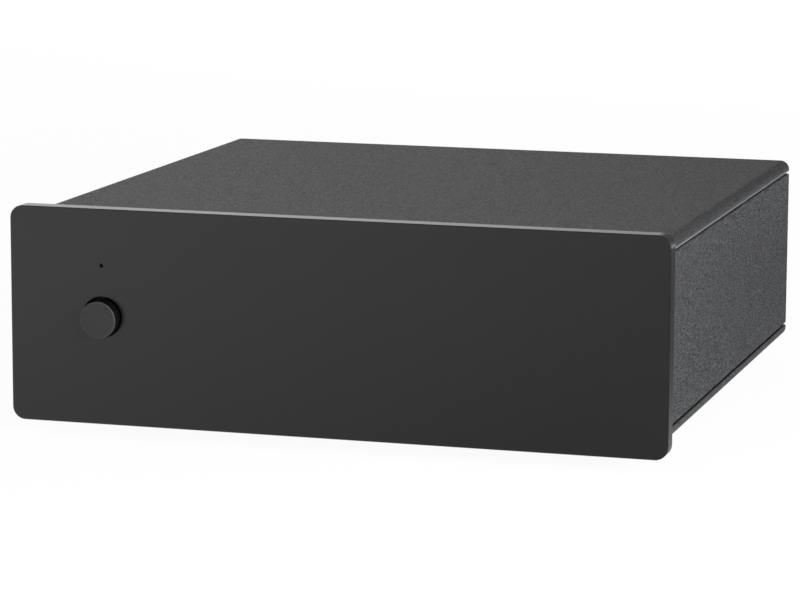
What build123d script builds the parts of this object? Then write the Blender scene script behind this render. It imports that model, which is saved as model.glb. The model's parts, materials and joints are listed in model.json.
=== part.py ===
from build123d import *
import os

# Phono preamp in a sandwich casing: a thick front panel, two covers, two extruded side panels,
# a rear panel with sockets, and two circuit boards inside. Millimetres, front facing -Y, +Z up,
# origin on the table under the middle of the whole object.

# Front panel
PANEL_WIDTH = 206.0
PANEL_HEIGHT = 66.5
PANEL_THICKNESS = 5.5
PANEL_CORNER_RADIUS = 4.0
PANEL_EDGE_BREAK = 0.2
PANEL_SIDE_OVERHANG = 2.4
PANEL_TOP_OVERHANG = 2.9
PANEL_BOTTOM_OVERHANG = 2.9

# Covers and side panels
CASE_DEPTH = 194.5
COVER_THICKNESS = 3.0
RIM_HEIGHT = 3.85
RIM_THICKNESS = 2.5
COVER_EDGE_RADIUS = 3.0
TOP_RIM_EDGE_RADIUS = 0.7
BOTTOM_RIM_EDGE_RADIUS = 0.4
SIDE_EDGE_RADIUS = 0.6
SEAM_GAP = 0.5
SIDE_THICKNESS = 3.0
CHANNEL_SIZE = 6.0
FLANGE_WIDTH = 8.0
FLANGE_THICKNESS = 2.5
CASING_CLEARANCE = 0.1

# Inner front plate and rear panel
SUBPANEL_THICKNESS = 2.0
REAR_THICKNESS = 2.0
REAR_INSET = 1.5
END_PLATE_CLEARANCE = 0.2

# Feet
FOOT_HEIGHT = 8.4
FOOT_RADIUS = 10.0
FOOT_EDGE_RADIUS = 1.0
FOOT_END_INSET = 36.0
FOOT_SIDE_INSET = 30.0
FOOT_COUNTERBORE_RADIUS = 4.0
FOOT_COUNTERBORE_DEPTH = 5.0

# Screws
SCREW_RADIUS = 1.5
SCREW_HOLE_CLEARANCE = 0.2
PAN_HEAD_RADIUS = 2.8
PAN_HEAD_HEIGHT = 1.9
PAN_HEAD_EDGE = 0.4
FLUSH_HEAD_RADIUS = 2.9
SOCKET_RECESS_RADIUS = 1.15
SOCKET_RECESS_DEPTH = 1.1
END_SCREW_LENGTH = 9.0
COVER_SCREW_BITE = 2.0
COVER_SCREW_END_INSET = 20.0
PANEL_SCREW_BITE = 3.0
PANEL_SCREW_SIDE_INSET = 30.0
PANEL_SCREW_TOP_INSET = 12.0

# Power button and its switch
BUTTON_RADIUS = 5.7
BUTTON_REACH = 4.0
BUTTON_FROM_PANEL_LEFT = 29.7
BUTTON_BELOW_PANEL_MIDDLE = 0.35
BUTTON_HOLE_CLEARANCE = 0.7
BUTTON_SAG = 0.4
BUTTON_EDGE_RADIUS = 0.3
BUTTON_CAP_LENGTH = 6.3
BUTTON_SHANK_RADIUS = 4.0
BUTTON_TRAVEL = 2.0
STEM_RADIUS = 2.0
STEM_SPIGOT_LENGTH = 4.5
STEM_FLANGE_RADIUS = 5.5
STEM_FLANGE_THICKNESS = 1.5
STEM_TAIL_LENGTH = 10.0
GUIDE_COLLAR_RADIUS = 6.0
GUIDE_COLLAR_SETBACK = 0.2
GUIDE_FLANGE_RADIUS = 8.5
GUIDE_FLANGE_THICKNESS = 1.5
RUNNING_CLEARANCE = 0.05
SPRING_GAP = 5.0
SPRING_RADIUS = 3.4
SPRING_WIRE_RADIUS = 0.3
SPRING_TURNS = 4.0
SWITCH_WIDTH = 12.0
SWITCH_DEPTH = 9.0
SWITCH_BORE_SPARE = 0.5

# Status light
LIGHT_ABOVE_BUTTON = 16.2
LIGHT_HOLE_RADIUS = 0.65
LIGHT_NOSE_RADIUS = 0.5
LIGHT_NOSE_RECESS = 1.5
LIGHT_PIPE_RADIUS = 1.5
LIGHT_PIPE_SEAT_DEPTH = 2.5
LIGHT_PIPE_HOLE_CLEARANCE = 0.2
LED_RADIUS = 1.5
LED_LENGTH = 4.4
LED_RIM_RADIUS = 1.9
LED_RIM_LENGTH = 1.0

# Front board, its spacers and the ribbon cable
BOARD_THICKNESS = 1.6
FRONT_BOARD_WIDTH = 34.0
FRONT_BOARD_HEADROOM = 6.1
FRONT_BOARD_FLOOR_GAP = 8.6
SPACER_RADIUS = 2.8
SPACER_EDGE_INSET = 3.8
SPACER_TAIL_RADIUS = 2.0
BOARD_SCREW_LENGTH = 5.0
CONNECTOR_WIDTH = 16.0
CONNECTOR_THICKNESS = 6.0
CONNECTOR_HEIGHT = 8.0
RIBBON_WIDTH = 12.7
RIBBON_THICKNESS = 0.9
RIBBON_RUN = 20.0
RIBBON_BEND_RADIUS = 8.0
RIBBON_ABOVE_BUTTON = 6.0

# Main board
STANDOFF_HEIGHT = 4.1
STANDOFF_RADIUS = 3.0
STANDOFF_TAIL_RADIUS = 2.3
STANDOFF_TAIL_LENGTH = 1.5
STANDOFF_SIDE_INSET = 14.0
STANDOFF_FRONT_INSET = 9.0
STANDOFF_REAR_INSET = 22.0
BOARD_SIDE_CLEARANCE = 2.0
BOARD_FRONT_SETBACK = 31.0
BOARD_REAR_CLEARANCE = 2.5
SOCKET_BOARD_HEIGHT = 30.0
SOCKET_BOARD_FROM_PANEL = 12.0
SOCKET_BOARD_MARGIN = 11.0

# Phono sockets, along the rear panel
SOCKET_CENTRE_ABOVE_BOARD = 18.0
SOCKET_PITCH = 18.0
INPUT_FROM_CASE_SIDE = 34.6
OUTPUT_FROM_CASE_SIDE = 48.6
SLEEVE_RADIUS = 4.15
SLEEVE_LENGTH = 8.5
SLEEVE_FLANGE_RADIUS = 6.3
SLEEVE_FLANGE_THICKNESS = 2.0
SLEEVE_EDGE_BREAK = 0.4
SLEEVE_TAIL_RADIUS = 3.6
SLEEVE_TAIL_LENGTH = 8.0
WASHER_RADIUS = 6.8
WASHER_THICKNESS = 1.0
WASHER_SHOULDER_RADIUS = 4.6
SOCKET_NUT_RADIUS = 5.8
SOCKET_NUT_THICKNESS = 2.5
CORE_FRONT_RADIUS = 3.4
CORE_TAIL_RADIUS = 2.7
CORE_TIP_RECESS = 0.8
CONTACT_RADIUS = 2.2
CONTACT_BORE_RADIUS = 1.65
CONTACT_BORE_DEPTH = 9.0
CONTACT_TAIL_RADIUS = 0.7

# Ground terminal
GROUND_PLACE = -8.0
POST_RADIUS = 2.0
POST_LENGTH = 13.0
POST_TAIL_LENGTH = 6.0
POST_COLLAR_RADIUS = 4.6
POST_COLLAR_THICKNESS = 2.0
POST_NUT_RADIUS = 4.0
POST_NUT_THICKNESS = 3.0
GROUND_WASHER_RADIUS = 4.4
GROUND_WASHER_THICKNESS = 0.8
THUMB_NUT_RADIUS = 4.8
THUMB_NUT_LENGTH = 7.0
THUMB_NUT_EDGE_BREAK = 0.5
THUMB_NUT_GROOVES = 24
THUMB_NUT_GROOVE_RADIUS = 0.35

# Low-voltage inlet
INLET_FROM_CASE_SIDE = 20.6
INLET_WIDTH = 9.0
INLET_HEIGHT = 11.0
INLET_DEPTH = 14.0
INLET_CENTRE_ABOVE_BOARD = 6.5
INLET_NOSE_RADIUS = 4.0
INLET_BORE_RADIUS = 3.1
INLET_BORE_DEPTH = 9.5
INLET_PIN_RADIUS = 1.05
INLET_PIN_SETBACK = 0.6

# Load knob and potentiometer
KNOB_PLACE = 20.0
KNOB_RADIUS = 7.5
KNOB_LENGTH = 12.0
KNOB_PANEL_GAP = 0.8
KNOB_EDGE_BREAK = 0.6
KNOB_CAVITY_RADIUS = 6.3
KNOB_CAVITY_DEPTH = 5.2
KNOB_FLUTES = 20
KNOB_FLUTE_RADIUS = 0.8
KNOB_FLUTE_BITE = 0.35
KNOB_POINTER_WIDTH = 0.8
KNOB_POINTER_DEPTH = 0.4
POT_SHAFT_RADIUS = 3.0
POT_SHAFT_BEHIND_PANEL = 8.0
POT_SHAFT_IN_KNOB = 4.0
POT_BODY_SIZE = 17.0
POT_BODY_DEPTH = 10.0
POT_BUSH_RADIUS = 4.0
POT_BUSH_LENGTH = 5.0
POT_NUT_RADIUS = 5.8
POT_NUT_THICKNESS = 2.0

# Slide-switch blocks under the main board
SLIDE_SWITCH_PLACES = [-30.0, 30.0]
SLIDE_SWITCH_FROM_CASE_FRONT = 110.0
SLIDERS_PER_SWITCH = 4
SLIDER_PITCH = 2.54
SLIDE_SWITCH_END_WALL = 1.2
SLIDE_SWITCH_WIDTH = 9.8
SLIDE_SWITCH_HEIGHT = 5.9
WINDOW_CLEARANCE = 0.6
WINDOW_CORNER_RADIUS = 1.0
SLIDER_WIDTH = 1.2
SLIDER_LENGTH = 2.2
SLIDER_TRAVEL = 1.2
SLIDER_REACH = 0.8
SLIDER_NECK = 0.7
SLIDER_FOOT_THICKNESS = 0.8
SLIDER_FOOT_OVERHANG = 0.3
SLIDER_CLEARANCE = 0.1

# Parts on the main board; a place is X from the middle and Y from the board's front edge,
# and each is used once for either channel
ELECTROLYTIC_RADIUS = 5.0
ELECTROLYTIC_HEIGHT = 16.0
ELECTROLYTIC_PLACES = [(40.0, 30.0), (53.0, 30.0), (40.0, 44.0), (53.0, 44.0)]
FILM_LENGTH = 18.0
FILM_WIDTH = 7.0
FILM_HEIGHT = 13.0
FILM_PLACES = [(34.0, 66.0), (34.0, 78.0), (58.0, 66.0), (58.0, 78.0)]
RELAY_LENGTH = 15.0
RELAY_WIDTH = 7.5
RELAY_HEIGHT = 10.0
RELAY_PLACES = [(44.0, 122.0), (64.0, 122.0)]
TRANSISTOR_RADIUS = 2.3
TRANSISTOR_HEIGHT = 4.6
TRANSISTOR_FLAT_DEPTH = 1.1
TRANSISTOR_PLACES = [(22.0, 92.0), (34.0, 92.0), (46.0, 92.0), (22.0, 104.0), (34.0, 104.0), (46.0, 104.0)]
TRANSISTOR_LEG_LENGTH = 3.0
TRANSISTOR_LEG_WIDTH = 0.5
TRANSISTOR_LEG_PITCH = 1.27
REGULATOR_WIDTH = 10.0
REGULATOR_THICKNESS = 4.5
REGULATOR_HEIGHT = 15.0
HEAT_SINK_WIDTH = 25.0
HEAT_SINK_DEPTH = 12.0
HEAT_SINK_HEIGHT = 25.0
HEAT_SINK_WALL = 2.0
HEAT_SINK_FINS = 5
HEAT_SINK_PLACES = [(14.0, 22.0)]
CHIP_LENGTH = 5.0
CHIP_WIDTH = 4.0
CHIP_HEIGHT = 1.6
CHIP_PLACES = [(12.0, 62.0), (12.0, 78.0), (12.0, 94.0)]
COMPONENT_CORNER_RADIUS = 0.6

# Worked out from the sizes above
BASE = (Align.CENTER, Align.CENTER, Align.MIN)

case_half = PANEL_WIDTH / 2 - PANEL_SIDE_OVERHANG
case_bottom = FOOT_HEIGHT
panel_bottom = case_bottom - PANEL_BOTTOM_OVERHANG
panel_top = panel_bottom + PANEL_HEIGHT
case_top = panel_top - PANEL_TOP_OVERHANG
cover_under = case_top - COVER_THICKNESS
floor_top = case_bottom + COVER_THICKNESS

rear_reach = max(
    POST_LENGTH,
    KNOB_PANEL_GAP + KNOB_LENGTH,
    WASHER_THICKNESS + SLEEVE_FLANGE_THICKNESS + SLEEVE_LENGTH,
)
total_depth = BUTTON_REACH + PANEL_THICKNESS + CASE_DEPTH - REAR_INSET + rear_reach
front_y = BUTTON_REACH - total_depth / 2
panel_back = front_y + PANEL_THICKNESS
subpanel_back = panel_back + SUBPANEL_THICKNESS
case_rear = panel_back + CASE_DEPTH
rear_outer = case_rear - REAR_INSET
rear_inner = rear_outer - REAR_THICKNESS

inner_half = case_half - SIDE_THICKNESS
channel_outer = case_half - RIM_THICKNESS - CASING_CLEARANCE
channel_inner = channel_outer - CHANNEL_SIZE
channel_x = channel_outer - CHANNEL_SIZE / 2
channel_top_z = cover_under - CHANNEL_SIZE / 2
channel_bottom_z = floor_top + CHANNEL_SIZE / 2
flange_inner = channel_inner - FLANGE_WIDTH
flange_x = (channel_inner + flange_inner) / 2
tap_radius = SCREW_RADIUS
through_radius = SCREW_RADIUS + SCREW_HOLE_CLEARANCE

button_x = BUTTON_FROM_PANEL_LEFT - PANEL_WIDTH / 2
button_z = (panel_bottom + panel_top) / 2 - BUTTON_BELOW_PANEL_MIDDLE
light_z = button_z + LIGHT_ABOVE_BUTTON
button_face = front_y - BUTTON_REACH
button_shoulder = button_face + BUTTON_CAP_LENGTH
guide_front = panel_back + GUIDE_COLLAR_SETBACK
guide_back = subpanel_back + GUIDE_FLANGE_THICKNESS
stem_flange_back = guide_back + STEM_FLANGE_THICKNESS
switch_front = stem_flange_back + SPRING_GAP
stem_end = stem_flange_back + STEM_TAIL_LENGTH
front_board_front = switch_front + SWITCH_DEPTH
front_board_back = front_board_front + BOARD_THICKNESS
front_board_bottom = floor_top + FRONT_BOARD_FLOOR_GAP
front_board_top = cover_under - FRONT_BOARD_HEADROOM

board_bottom = floor_top + STANDOFF_HEIGHT
board_top = board_bottom + BOARD_THICKNESS
board_half = channel_inner - BOARD_SIDE_CLEARANCE
board_front = panel_back + BOARD_FRONT_SETBACK
board_rear = rear_inner - BOARD_REAR_CLEARANCE
socket_z = board_top + SOCKET_CENTRE_ABOVE_BOARD
inlet_x = INLET_FROM_CASE_SIDE - case_half
inlet_z = board_top + INLET_CENTRE_ABOVE_BOARD
first_output_x = OUTPUT_FROM_CASE_SIDE - case_half
last_input_x = case_half - INPUT_FROM_CASE_SIDE
output_places = [first_output_x, first_output_x + SOCKET_PITCH]
input_places = [last_input_x - SOCKET_PITCH, last_input_x]
socket_board_back = rear_inner - SOCKET_BOARD_FROM_PANEL
socket_board_front = socket_board_back - BOARD_THICKNESS
slide_switch_y = panel_back + SLIDE_SWITCH_FROM_CASE_FRONT
slide_switch_length = SLIDERS_PER_SWITCH * SLIDER_PITCH + 2 * SLIDE_SWITCH_END_WALL
slide_switch_face = board_bottom - SLIDE_SWITCH_HEIGHT


def block(x0, x1, y0, y1, z0, z1):
    """Box between two corners."""
    middle = Pos((x0 + x1) / 2, (y0 + y1) / 2, (z0 + z1) / 2)
    return middle * Box(x1 - x0, y1 - y0, z1 - z0)


def rod(radius, x, z, y0, y1):
    """Round bar along Y from y0 to y1."""
    return Plane(origin=(x, y0, z), z_dir=(0, 1, 0)) * Cylinder(radius, y1 - y0, align=BASE)


def post(radius, x, y, z0, z1):
    """Round bar along Z from z0 to z1."""
    return Pos(x, y, z0) * Cylinder(radius, z1 - z0, align=BASE)


def hex_bar(radius, x, z, y0, y1):
    """Six-sided bar along Y; radius is measured to the corners."""
    plane = Plane(origin=(x, y0, z), z_dir=(0, 1, 0))
    return extrude(plane * RegularPolygon(radius, 6), amount=y1 - y0)


def along_y(outline, y0, y1):
    """Outline drawn in X and Z, made solid from y0 to y1."""
    plane = Plane(origin=(0, y1, 0), x_dir=(1, 0, 0), z_dir=(0, -1, 0))
    return extrude(plane * outline, amount=y1 - y0)


def area(x0, x1, z0, z1):
    """Rectangle between two corners of an outline."""
    return Pos((x0 + x1) / 2, (z0 + z1) / 2) * Rectangle(x1 - x0, z1 - z0)


def pan_screw(length):
    """Screw with a low round head above z = 0 and its thread below."""
    head = Cylinder(PAN_HEAD_RADIUS, PAN_HEAD_HEIGHT, align=BASE)
    head = fillet(head.edges().group_by(Axis.Z)[-1], PAN_HEAD_EDGE)
    shank = Pos(0, 0, -length) * Cylinder(SCREW_RADIUS, length, align=BASE)
    recess = Pos(0, 0, PAN_HEAD_HEIGHT) * RegularPolygon(SOCKET_RECESS_RADIUS, 6)
    return head + shank - extrude(recess, amount=-SOCKET_RECESS_DEPTH)


def flush_cone(small_radius):
    """Cone of a flush screw head, from its rim at z = 0 down to a smaller radius."""
    depth = FLUSH_HEAD_RADIUS - small_radius
    return Pos(0, 0, -depth) * Cone(small_radius, FLUSH_HEAD_RADIUS, depth, align=BASE)


def flush_screw(length):
    """Screw with a flush conical head whose face is at z = 0."""
    shank = Pos(0, 0, -length) * Cylinder(SCREW_RADIUS, length, align=BASE)
    recess = extrude(RegularPolygon(SOCKET_RECESS_RADIUS, 6), amount=-SOCKET_RECESS_DEPTH)
    return shank + flush_cone(SCREW_RADIUS) - recess


def flush_hole(thickness):
    """Cutter for a flush screw through a plate."""
    hole = Pos(0, 0, -thickness) * Cylinder(through_radius, thickness, align=BASE)
    return hole + flush_cone(through_radius)


def facing(shape, place, direction):
    """Shape turned so that its +Z points along direction, at place."""
    return Plane(origin=place, z_dir=direction) * shape


def save(name, *shapes):
    """Write one node, as one solid or as a group of separate solids."""
    solids = [solid for shape in shapes for solid in shape.solids()]
    node = solids[0] if len(solids) == 1 else Compound(children=solids)
    export_step(node, os.path.join("parts", name + ".step"))


# Places that several pieces share
def channel_places():
    """Centres of the four screw channels, in X and Z."""
    return [(side * channel_x, z) for side in (-1, 1) for z in (channel_bottom_z, channel_top_z)]


def cover_screw_places():
    """Screws that hold each cover to the side panels' flanges, in X and Y."""
    first = panel_back + COVER_SCREW_END_INSET
    last = case_rear - COVER_SCREW_END_INSET
    return [(side * flange_x, y) for side in (-1, 1) for y in (first, (first + last) / 2, last)]


def foot_places():
    """Middles of the four feet, in X and Y."""
    x = case_half - FOOT_SIDE_INSET
    rows = (panel_back + FOOT_END_INSET, case_rear - FOOT_END_INSET)
    return [(side * x, y) for side in (-1, 1) for y in rows]


def panel_screw_places():
    """Screws that hold the front panel to the inner plate, in X and Z."""
    x = inner_half - PANEL_SCREW_SIDE_INSET
    low = floor_top + PANEL_SCREW_TOP_INSET
    high = cover_under - PANEL_SCREW_TOP_INSET
    return [(side * x, z) for side in (-1, 0, 1) for z in (low, high)]


def spacer_places():
    """Spacers between the inner plate and the front board, in X and Z."""
    x = FRONT_BOARD_WIDTH / 2 - SPACER_EDGE_INSET
    low = front_board_bottom + SPACER_EDGE_INSET
    high = front_board_top - SPACER_EDGE_INSET
    return [(button_x + side * x, z) for side in (-1, 1) for z in (low, high)]


def standoff_places():
    """Standoffs under the main board, in X and Y."""
    x = board_half - STANDOFF_SIDE_INSET
    first = board_front + STANDOFF_FRONT_INSET
    last = board_rear - STANDOFF_REAR_INSET
    return [(side * x, y) for side in (-1, 1) for y in (first, (first + last) / 2, last)]


def socket_places():
    """Middles of the phono sockets in X, outputs first."""
    return output_places + input_places


# Casing
def make_front_panel():
    outline = Pos(0, (panel_bottom + panel_top) / 2) * RectangleRounded(
        PANEL_WIDTH, PANEL_HEIGHT, PANEL_CORNER_RADIUS
    )
    panel = along_y(outline, front_y, panel_back)
    panel = chamfer(panel.edges().group_by(Axis.Y)[0], PANEL_EDGE_BREAK)
    hole_radius = BUTTON_RADIUS + BUTTON_HOLE_CLEARANCE
    panel -= rod(hole_radius, button_x, button_z + BUTTON_SAG, front_y, panel_back)
    panel -= rod(LIGHT_HOLE_RADIUS, button_x, light_z, front_y, panel_back)
    panel -= rod(LIGHT_PIPE_RADIUS, button_x, light_z, front_y + LIGHT_PIPE_SEAT_DEPTH, panel_back)
    for x, z in panel_screw_places():
        panel -= rod(tap_radius, x, z, panel_back - PANEL_SCREW_BITE, panel_back)
    return panel


def end_plate(y0, y1):
    """Plate that fits inside the covers and the side panels."""
    return block(
        END_PLATE_CLEARANCE - inner_half,
        inner_half - END_PLATE_CLEARANCE,
        y0,
        y1,
        floor_top + END_PLATE_CLEARANCE,
        cover_under - END_PLATE_CLEARANCE,
    )


def make_front_subpanel():
    plate = end_plate(panel_back, subpanel_back)
    for x, z in channel_places():
        plate -= facing(flush_hole(SUBPANEL_THICKNESS), (x, panel_back, z), (0, -1, 0))
    for x, z in panel_screw_places():
        plate -= rod(through_radius, x, z, panel_back, subpanel_back)
    for x, z in spacer_places():
        plate -= rod(SPACER_TAIL_RADIUS, x, z, panel_back, subpanel_back)
    plate -= rod(GUIDE_COLLAR_RADIUS, button_x, button_z, panel_back, subpanel_back)
    light_hole = LIGHT_PIPE_RADIUS + LIGHT_PIPE_HOLE_CLEARANCE
    plate -= rod(light_hole, button_x, light_z, panel_back, subpanel_back)
    return plate


def cover_outline(rim_edge_radius):
    """Cover seen from the front, upper face at z = 0, rims hanging down at both sides."""
    outer = area(-case_half, case_half, -RIM_HEIGHT, 0)
    outer = fillet(outer.vertices().group_by(Axis.Y)[-1], COVER_EDGE_RADIUS)
    outer = fillet(outer.vertices().group_by(Axis.Y)[0], rim_edge_radius)
    inner_x = case_half - RIM_THICKNESS
    return outer - area(-inner_x, inner_x, -RIM_HEIGHT, -COVER_THICKNESS)


def make_top_cover():
    outline = Pos(0, case_top) * cover_outline(TOP_RIM_EDGE_RADIUS)
    cover = along_y(outline, panel_back, case_rear)
    for x, y in cover_screw_places():
        cover -= post(tap_radius, x, y, cover_under, cover_under + COVER_SCREW_BITE)
    return cover


def make_bottom_cover():
    upright = cover_outline(BOTTOM_RIM_EDGE_RADIUS)
    outline = Pos(0, case_bottom) * mirror(upright, about=Plane.XZ)
    cover = along_y(outline, panel_back, case_rear)
    for x, y in cover_screw_places():
        cover -= facing(flush_hole(COVER_THICKNESS), (x, y, case_bottom), (0, 0, -1))
    for x, y in foot_places():
        cover -= post(tap_radius, x, y, case_bottom, floor_top)
    for x, y in standoff_places():
        cover -= post(STANDOFF_TAIL_RADIUS, x, y, floor_top - STANDOFF_TAIL_LENGTH, floor_top)
    for x in SLIDE_SWITCH_PLACES:
        window = RectangleRounded(
            slide_switch_length + 2 * WINDOW_CLEARANCE,
            SLIDE_SWITCH_WIDTH + 2 * WINDOW_CLEARANCE,
            WINDOW_CORNER_RADIUS,
        )
        cover -= extrude(Pos(x, slide_switch_y, case_bottom) * window, amount=COVER_THICKNESS)
    return cover


def make_right_side_panel():
    """Extrusion: outer wall, a screw channel at each corner and a flange under each cover."""
    wall = area(
        inner_half,
        case_half,
        case_bottom + RIM_HEIGHT + SEAM_GAP,
        case_top - RIM_HEIGHT - SEAM_GAP,
    )
    outer_corners = wall.vertices().group_by(Axis.X)[-1]
    outline = fillet(outer_corners, SIDE_EDGE_RADIUS)
    outline += area(channel_inner, channel_outer, floor_top, floor_top + CHANNEL_SIZE)
    outline += area(channel_inner, channel_outer, cover_under - CHANNEL_SIZE, cover_under)
    outline += area(flange_inner, channel_inner, floor_top, floor_top + FLANGE_THICKNESS)
    outline += area(flange_inner, channel_inner, cover_under - FLANGE_THICKNESS, cover_under)
    for z in (channel_bottom_z, channel_top_z):
        outline -= Pos(channel_x, z) * Circle(tap_radius)
    side = along_y(outline, panel_back, case_rear)
    side -= block(flange_inner, channel_outer, panel_back, subpanel_back, case_bottom, case_top)
    side -= block(flange_inner, channel_outer, rear_inner, case_rear, case_bottom, case_top)
    for x, y in cover_screw_places():
        side -= post(tap_radius, x, y, floor_top, floor_top + FLANGE_THICKNESS)
        side -= post(through_radius, x, y, cover_under - FLANGE_THICKNESS, cover_under)
    return side


def make_rear_panel():
    panel = end_plate(rear_inner, rear_outer)
    for x, z in channel_places():
        panel -= facing(flush_hole(REAR_THICKNESS), (x, rear_outer, z), (0, 1, 0))
    for x in socket_places():
        panel -= rod(WASHER_SHOULDER_RADIUS, x, socket_z, rear_inner, rear_outer)
    panel -= rod(POST_RADIUS, GROUND_PLACE, socket_z, rear_inner, rear_outer)
    panel -= rod(POT_BUSH_RADIUS, KNOB_PLACE, socket_z, rear_inner, rear_outer)
    panel -= rod(INLET_NOSE_RADIUS, inlet_x, inlet_z, rear_inner, rear_outer)
    return panel


def make_end_screws():
    screw = flush_screw(END_SCREW_LENGTH)
    front = [facing(screw, (x, panel_back, z), (0, -1, 0)) for x, z in channel_places()]
    rear = [facing(screw, (x, rear_outer, z), (0, 1, 0)) for x, z in channel_places()]
    return front + rear


def make_front_panel_screws():
    screw = pan_screw(SUBPANEL_THICKNESS + PANEL_SCREW_BITE)
    return [facing(screw, (x, subpanel_back, z), (0, 1, 0)) for x, z in panel_screw_places()]


def make_top_cover_screws():
    screw = pan_screw(FLANGE_THICKNESS + COVER_SCREW_BITE)
    z = cover_under - FLANGE_THICKNESS
    return [facing(screw, (x, y, z), (0, 0, -1)) for x, y in cover_screw_places()]


def make_bottom_cover_screws():
    screw = flush_screw(COVER_THICKNESS + FLANGE_THICKNESS)
    return [facing(screw, (x, y, case_bottom), (0, 0, -1)) for x, y in cover_screw_places()]


def make_feet():
    foot = Cylinder(FOOT_RADIUS, FOOT_HEIGHT, align=BASE)
    foot = fillet(foot.edges().group_by(Axis.Z)[0], FOOT_EDGE_RADIUS)
    foot -= Cylinder(through_radius, FOOT_HEIGHT, align=BASE)
    foot -= Cylinder(FOOT_COUNTERBORE_RADIUS, FOOT_COUNTERBORE_DEPTH, align=BASE)
    return [Pos(x, y, 0) * foot for x, y in foot_places()]


def make_foot_screws():
    screw = pan_screw(FOOT_HEIGHT - FOOT_COUNTERBORE_DEPTH + COVER_THICKNESS)
    return [facing(screw, (x, y, FOOT_COUNTERBORE_DEPTH), (0, 0, -1)) for x, y in foot_places()]


# Power button, from the front backwards
def make_button_cap():
    cap = rod(BUTTON_RADIUS, button_x, button_z, button_face, button_shoulder)
    cap = fillet(cap.edges().group_by(Axis.Y)[0], BUTTON_EDGE_RADIUS)
    cap += rod(BUTTON_SHANK_RADIUS, button_x, button_z, button_shoulder, guide_back)
    return cap - rod(STEM_RADIUS, button_x, button_z, guide_back - STEM_SPIGOT_LENGTH, guide_back)


def make_button_guide():
    guide = rod(GUIDE_COLLAR_RADIUS, button_x, button_z, guide_front, guide_back)
    guide += rod(GUIDE_FLANGE_RADIUS, button_x, button_z, subpanel_back, guide_back)
    bore = BUTTON_SHANK_RADIUS + RUNNING_CLEARANCE
    return guide - rod(bore, button_x, button_z, guide_front, guide_back)


def make_button_stem():
    stem = rod(STEM_RADIUS, button_x, button_z, guide_back - STEM_SPIGOT_LENGTH, stem_end)
    return stem + rod(STEM_FLANGE_RADIUS, button_x, button_z, guide_back, stem_flange_back)


def make_button_spring():
    """Coil between the stem's flange and the switch, touching both."""
    rise = SPRING_GAP - 2 * SPRING_WIRE_RADIUS
    coil = Helix(pitch=rise / SPRING_TURNS, height=rise, radius=SPRING_RADIUS)
    wire = Plane(origin=coil @ 0, z_dir=coil % 0) * Circle(SPRING_WIRE_RADIUS)
    spring = sweep(wire, path=coil, is_frenet=True)
    start = (button_x, stem_flange_back + SPRING_WIRE_RADIUS, button_z)
    return facing(spring, start, (0, 1, 0))


def make_switch_housing():
    half = SWITCH_WIDTH / 2
    housing = block(
        button_x - half,
        button_x + half,
        switch_front,
        front_board_front,
        button_z - half,
        button_z + half,
    )
    housing = fillet(housing.edges().filter_by(Axis.Y), COMPONENT_CORNER_RADIUS)
    bore_end = stem_end + BUTTON_TRAVEL + SWITCH_BORE_SPARE
    return housing - rod(STEM_RADIUS + RUNNING_CLEARANCE, button_x, button_z, switch_front, bore_end)


# Status light
def make_light_pipe():
    seat = front_y + LIGHT_PIPE_SEAT_DEPTH
    nose = rod(LIGHT_NOSE_RADIUS, button_x, light_z, front_y + LIGHT_NOSE_RECESS, seat)
    return nose + rod(LIGHT_PIPE_RADIUS, button_x, light_z, seat, front_board_front - LED_LENGTH)


def make_status_led():
    lamp = rod(LED_RADIUS, button_x, light_z, front_board_front - LED_LENGTH, front_board_front)
    rim = front_board_front - LED_RIM_LENGTH
    return lamp + rod(LED_RIM_RADIUS, button_x, light_z, rim, front_board_front)


# Front board
def make_front_board():
    half = FRONT_BOARD_WIDTH / 2
    board = block(
        button_x - half,
        button_x + half,
        front_board_front,
        front_board_back,
        front_board_bottom,
        front_board_top,
    )
    for x, z in spacer_places():
        board -= rod(through_radius, x, z, front_board_front, front_board_back)
    return board


def make_spacers():
    spacers = []
    for x, z in spacer_places():
        spacer = hex_bar(SPACER_RADIUS, x, z, subpanel_back, front_board_front)
        spacer += rod(SPACER_TAIL_RADIUS, x, z, panel_back, subpanel_back)
        bite = BOARD_SCREW_LENGTH - BOARD_THICKNESS
        spacers.append(spacer - rod(tap_radius, x, z, front_board_front - bite, front_board_front))
    return spacers


def ribbon_corners():
    """Ribbon cable's middle line: back from the front board, then down to the main board."""
    z = button_z + RIBBON_ABOVE_BUTTON
    start = front_board_back + CONNECTOR_HEIGHT
    turn = start + RIBBON_RUN
    end = board_top + CONNECTOR_HEIGHT
    return [(button_x, start, z), (button_x, turn, z), (button_x, turn, end)]


def make_ribbon_cable():
    path = FilletPolyline(*ribbon_corners(), radius=RIBBON_BEND_RADIUS)
    strip = Plane(origin=path @ 0, x_dir=(1, 0, 0), z_dir=(0, 1, 0)) * Rectangle(
        RIBBON_WIDTH, RIBBON_THICKNESS
    )
    return sweep(strip, path=path)


def make_ribbon_connectors():
    start, _, end = ribbon_corners()
    half_width = CONNECTOR_WIDTH / 2
    half_thickness = CONNECTOR_THICKNESS / 2
    front = block(
        button_x - half_width,
        button_x + half_width,
        front_board_back,
        start[1],
        start[2] - half_thickness,
        start[2] + half_thickness,
    )
    main = block(
        button_x - half_width,
        button_x + half_width,
        end[1] - half_thickness,
        end[1] + half_thickness,
        board_top,
        end[2],
    )
    return [front, main]


# Main board and socket board
def make_main_board():
    board = block(-board_half, board_half, board_front, board_rear, board_bottom, board_top)
    for x, y in standoff_places():
        board -= post(through_radius, x, y, board_bottom, board_top)
    return board


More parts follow.
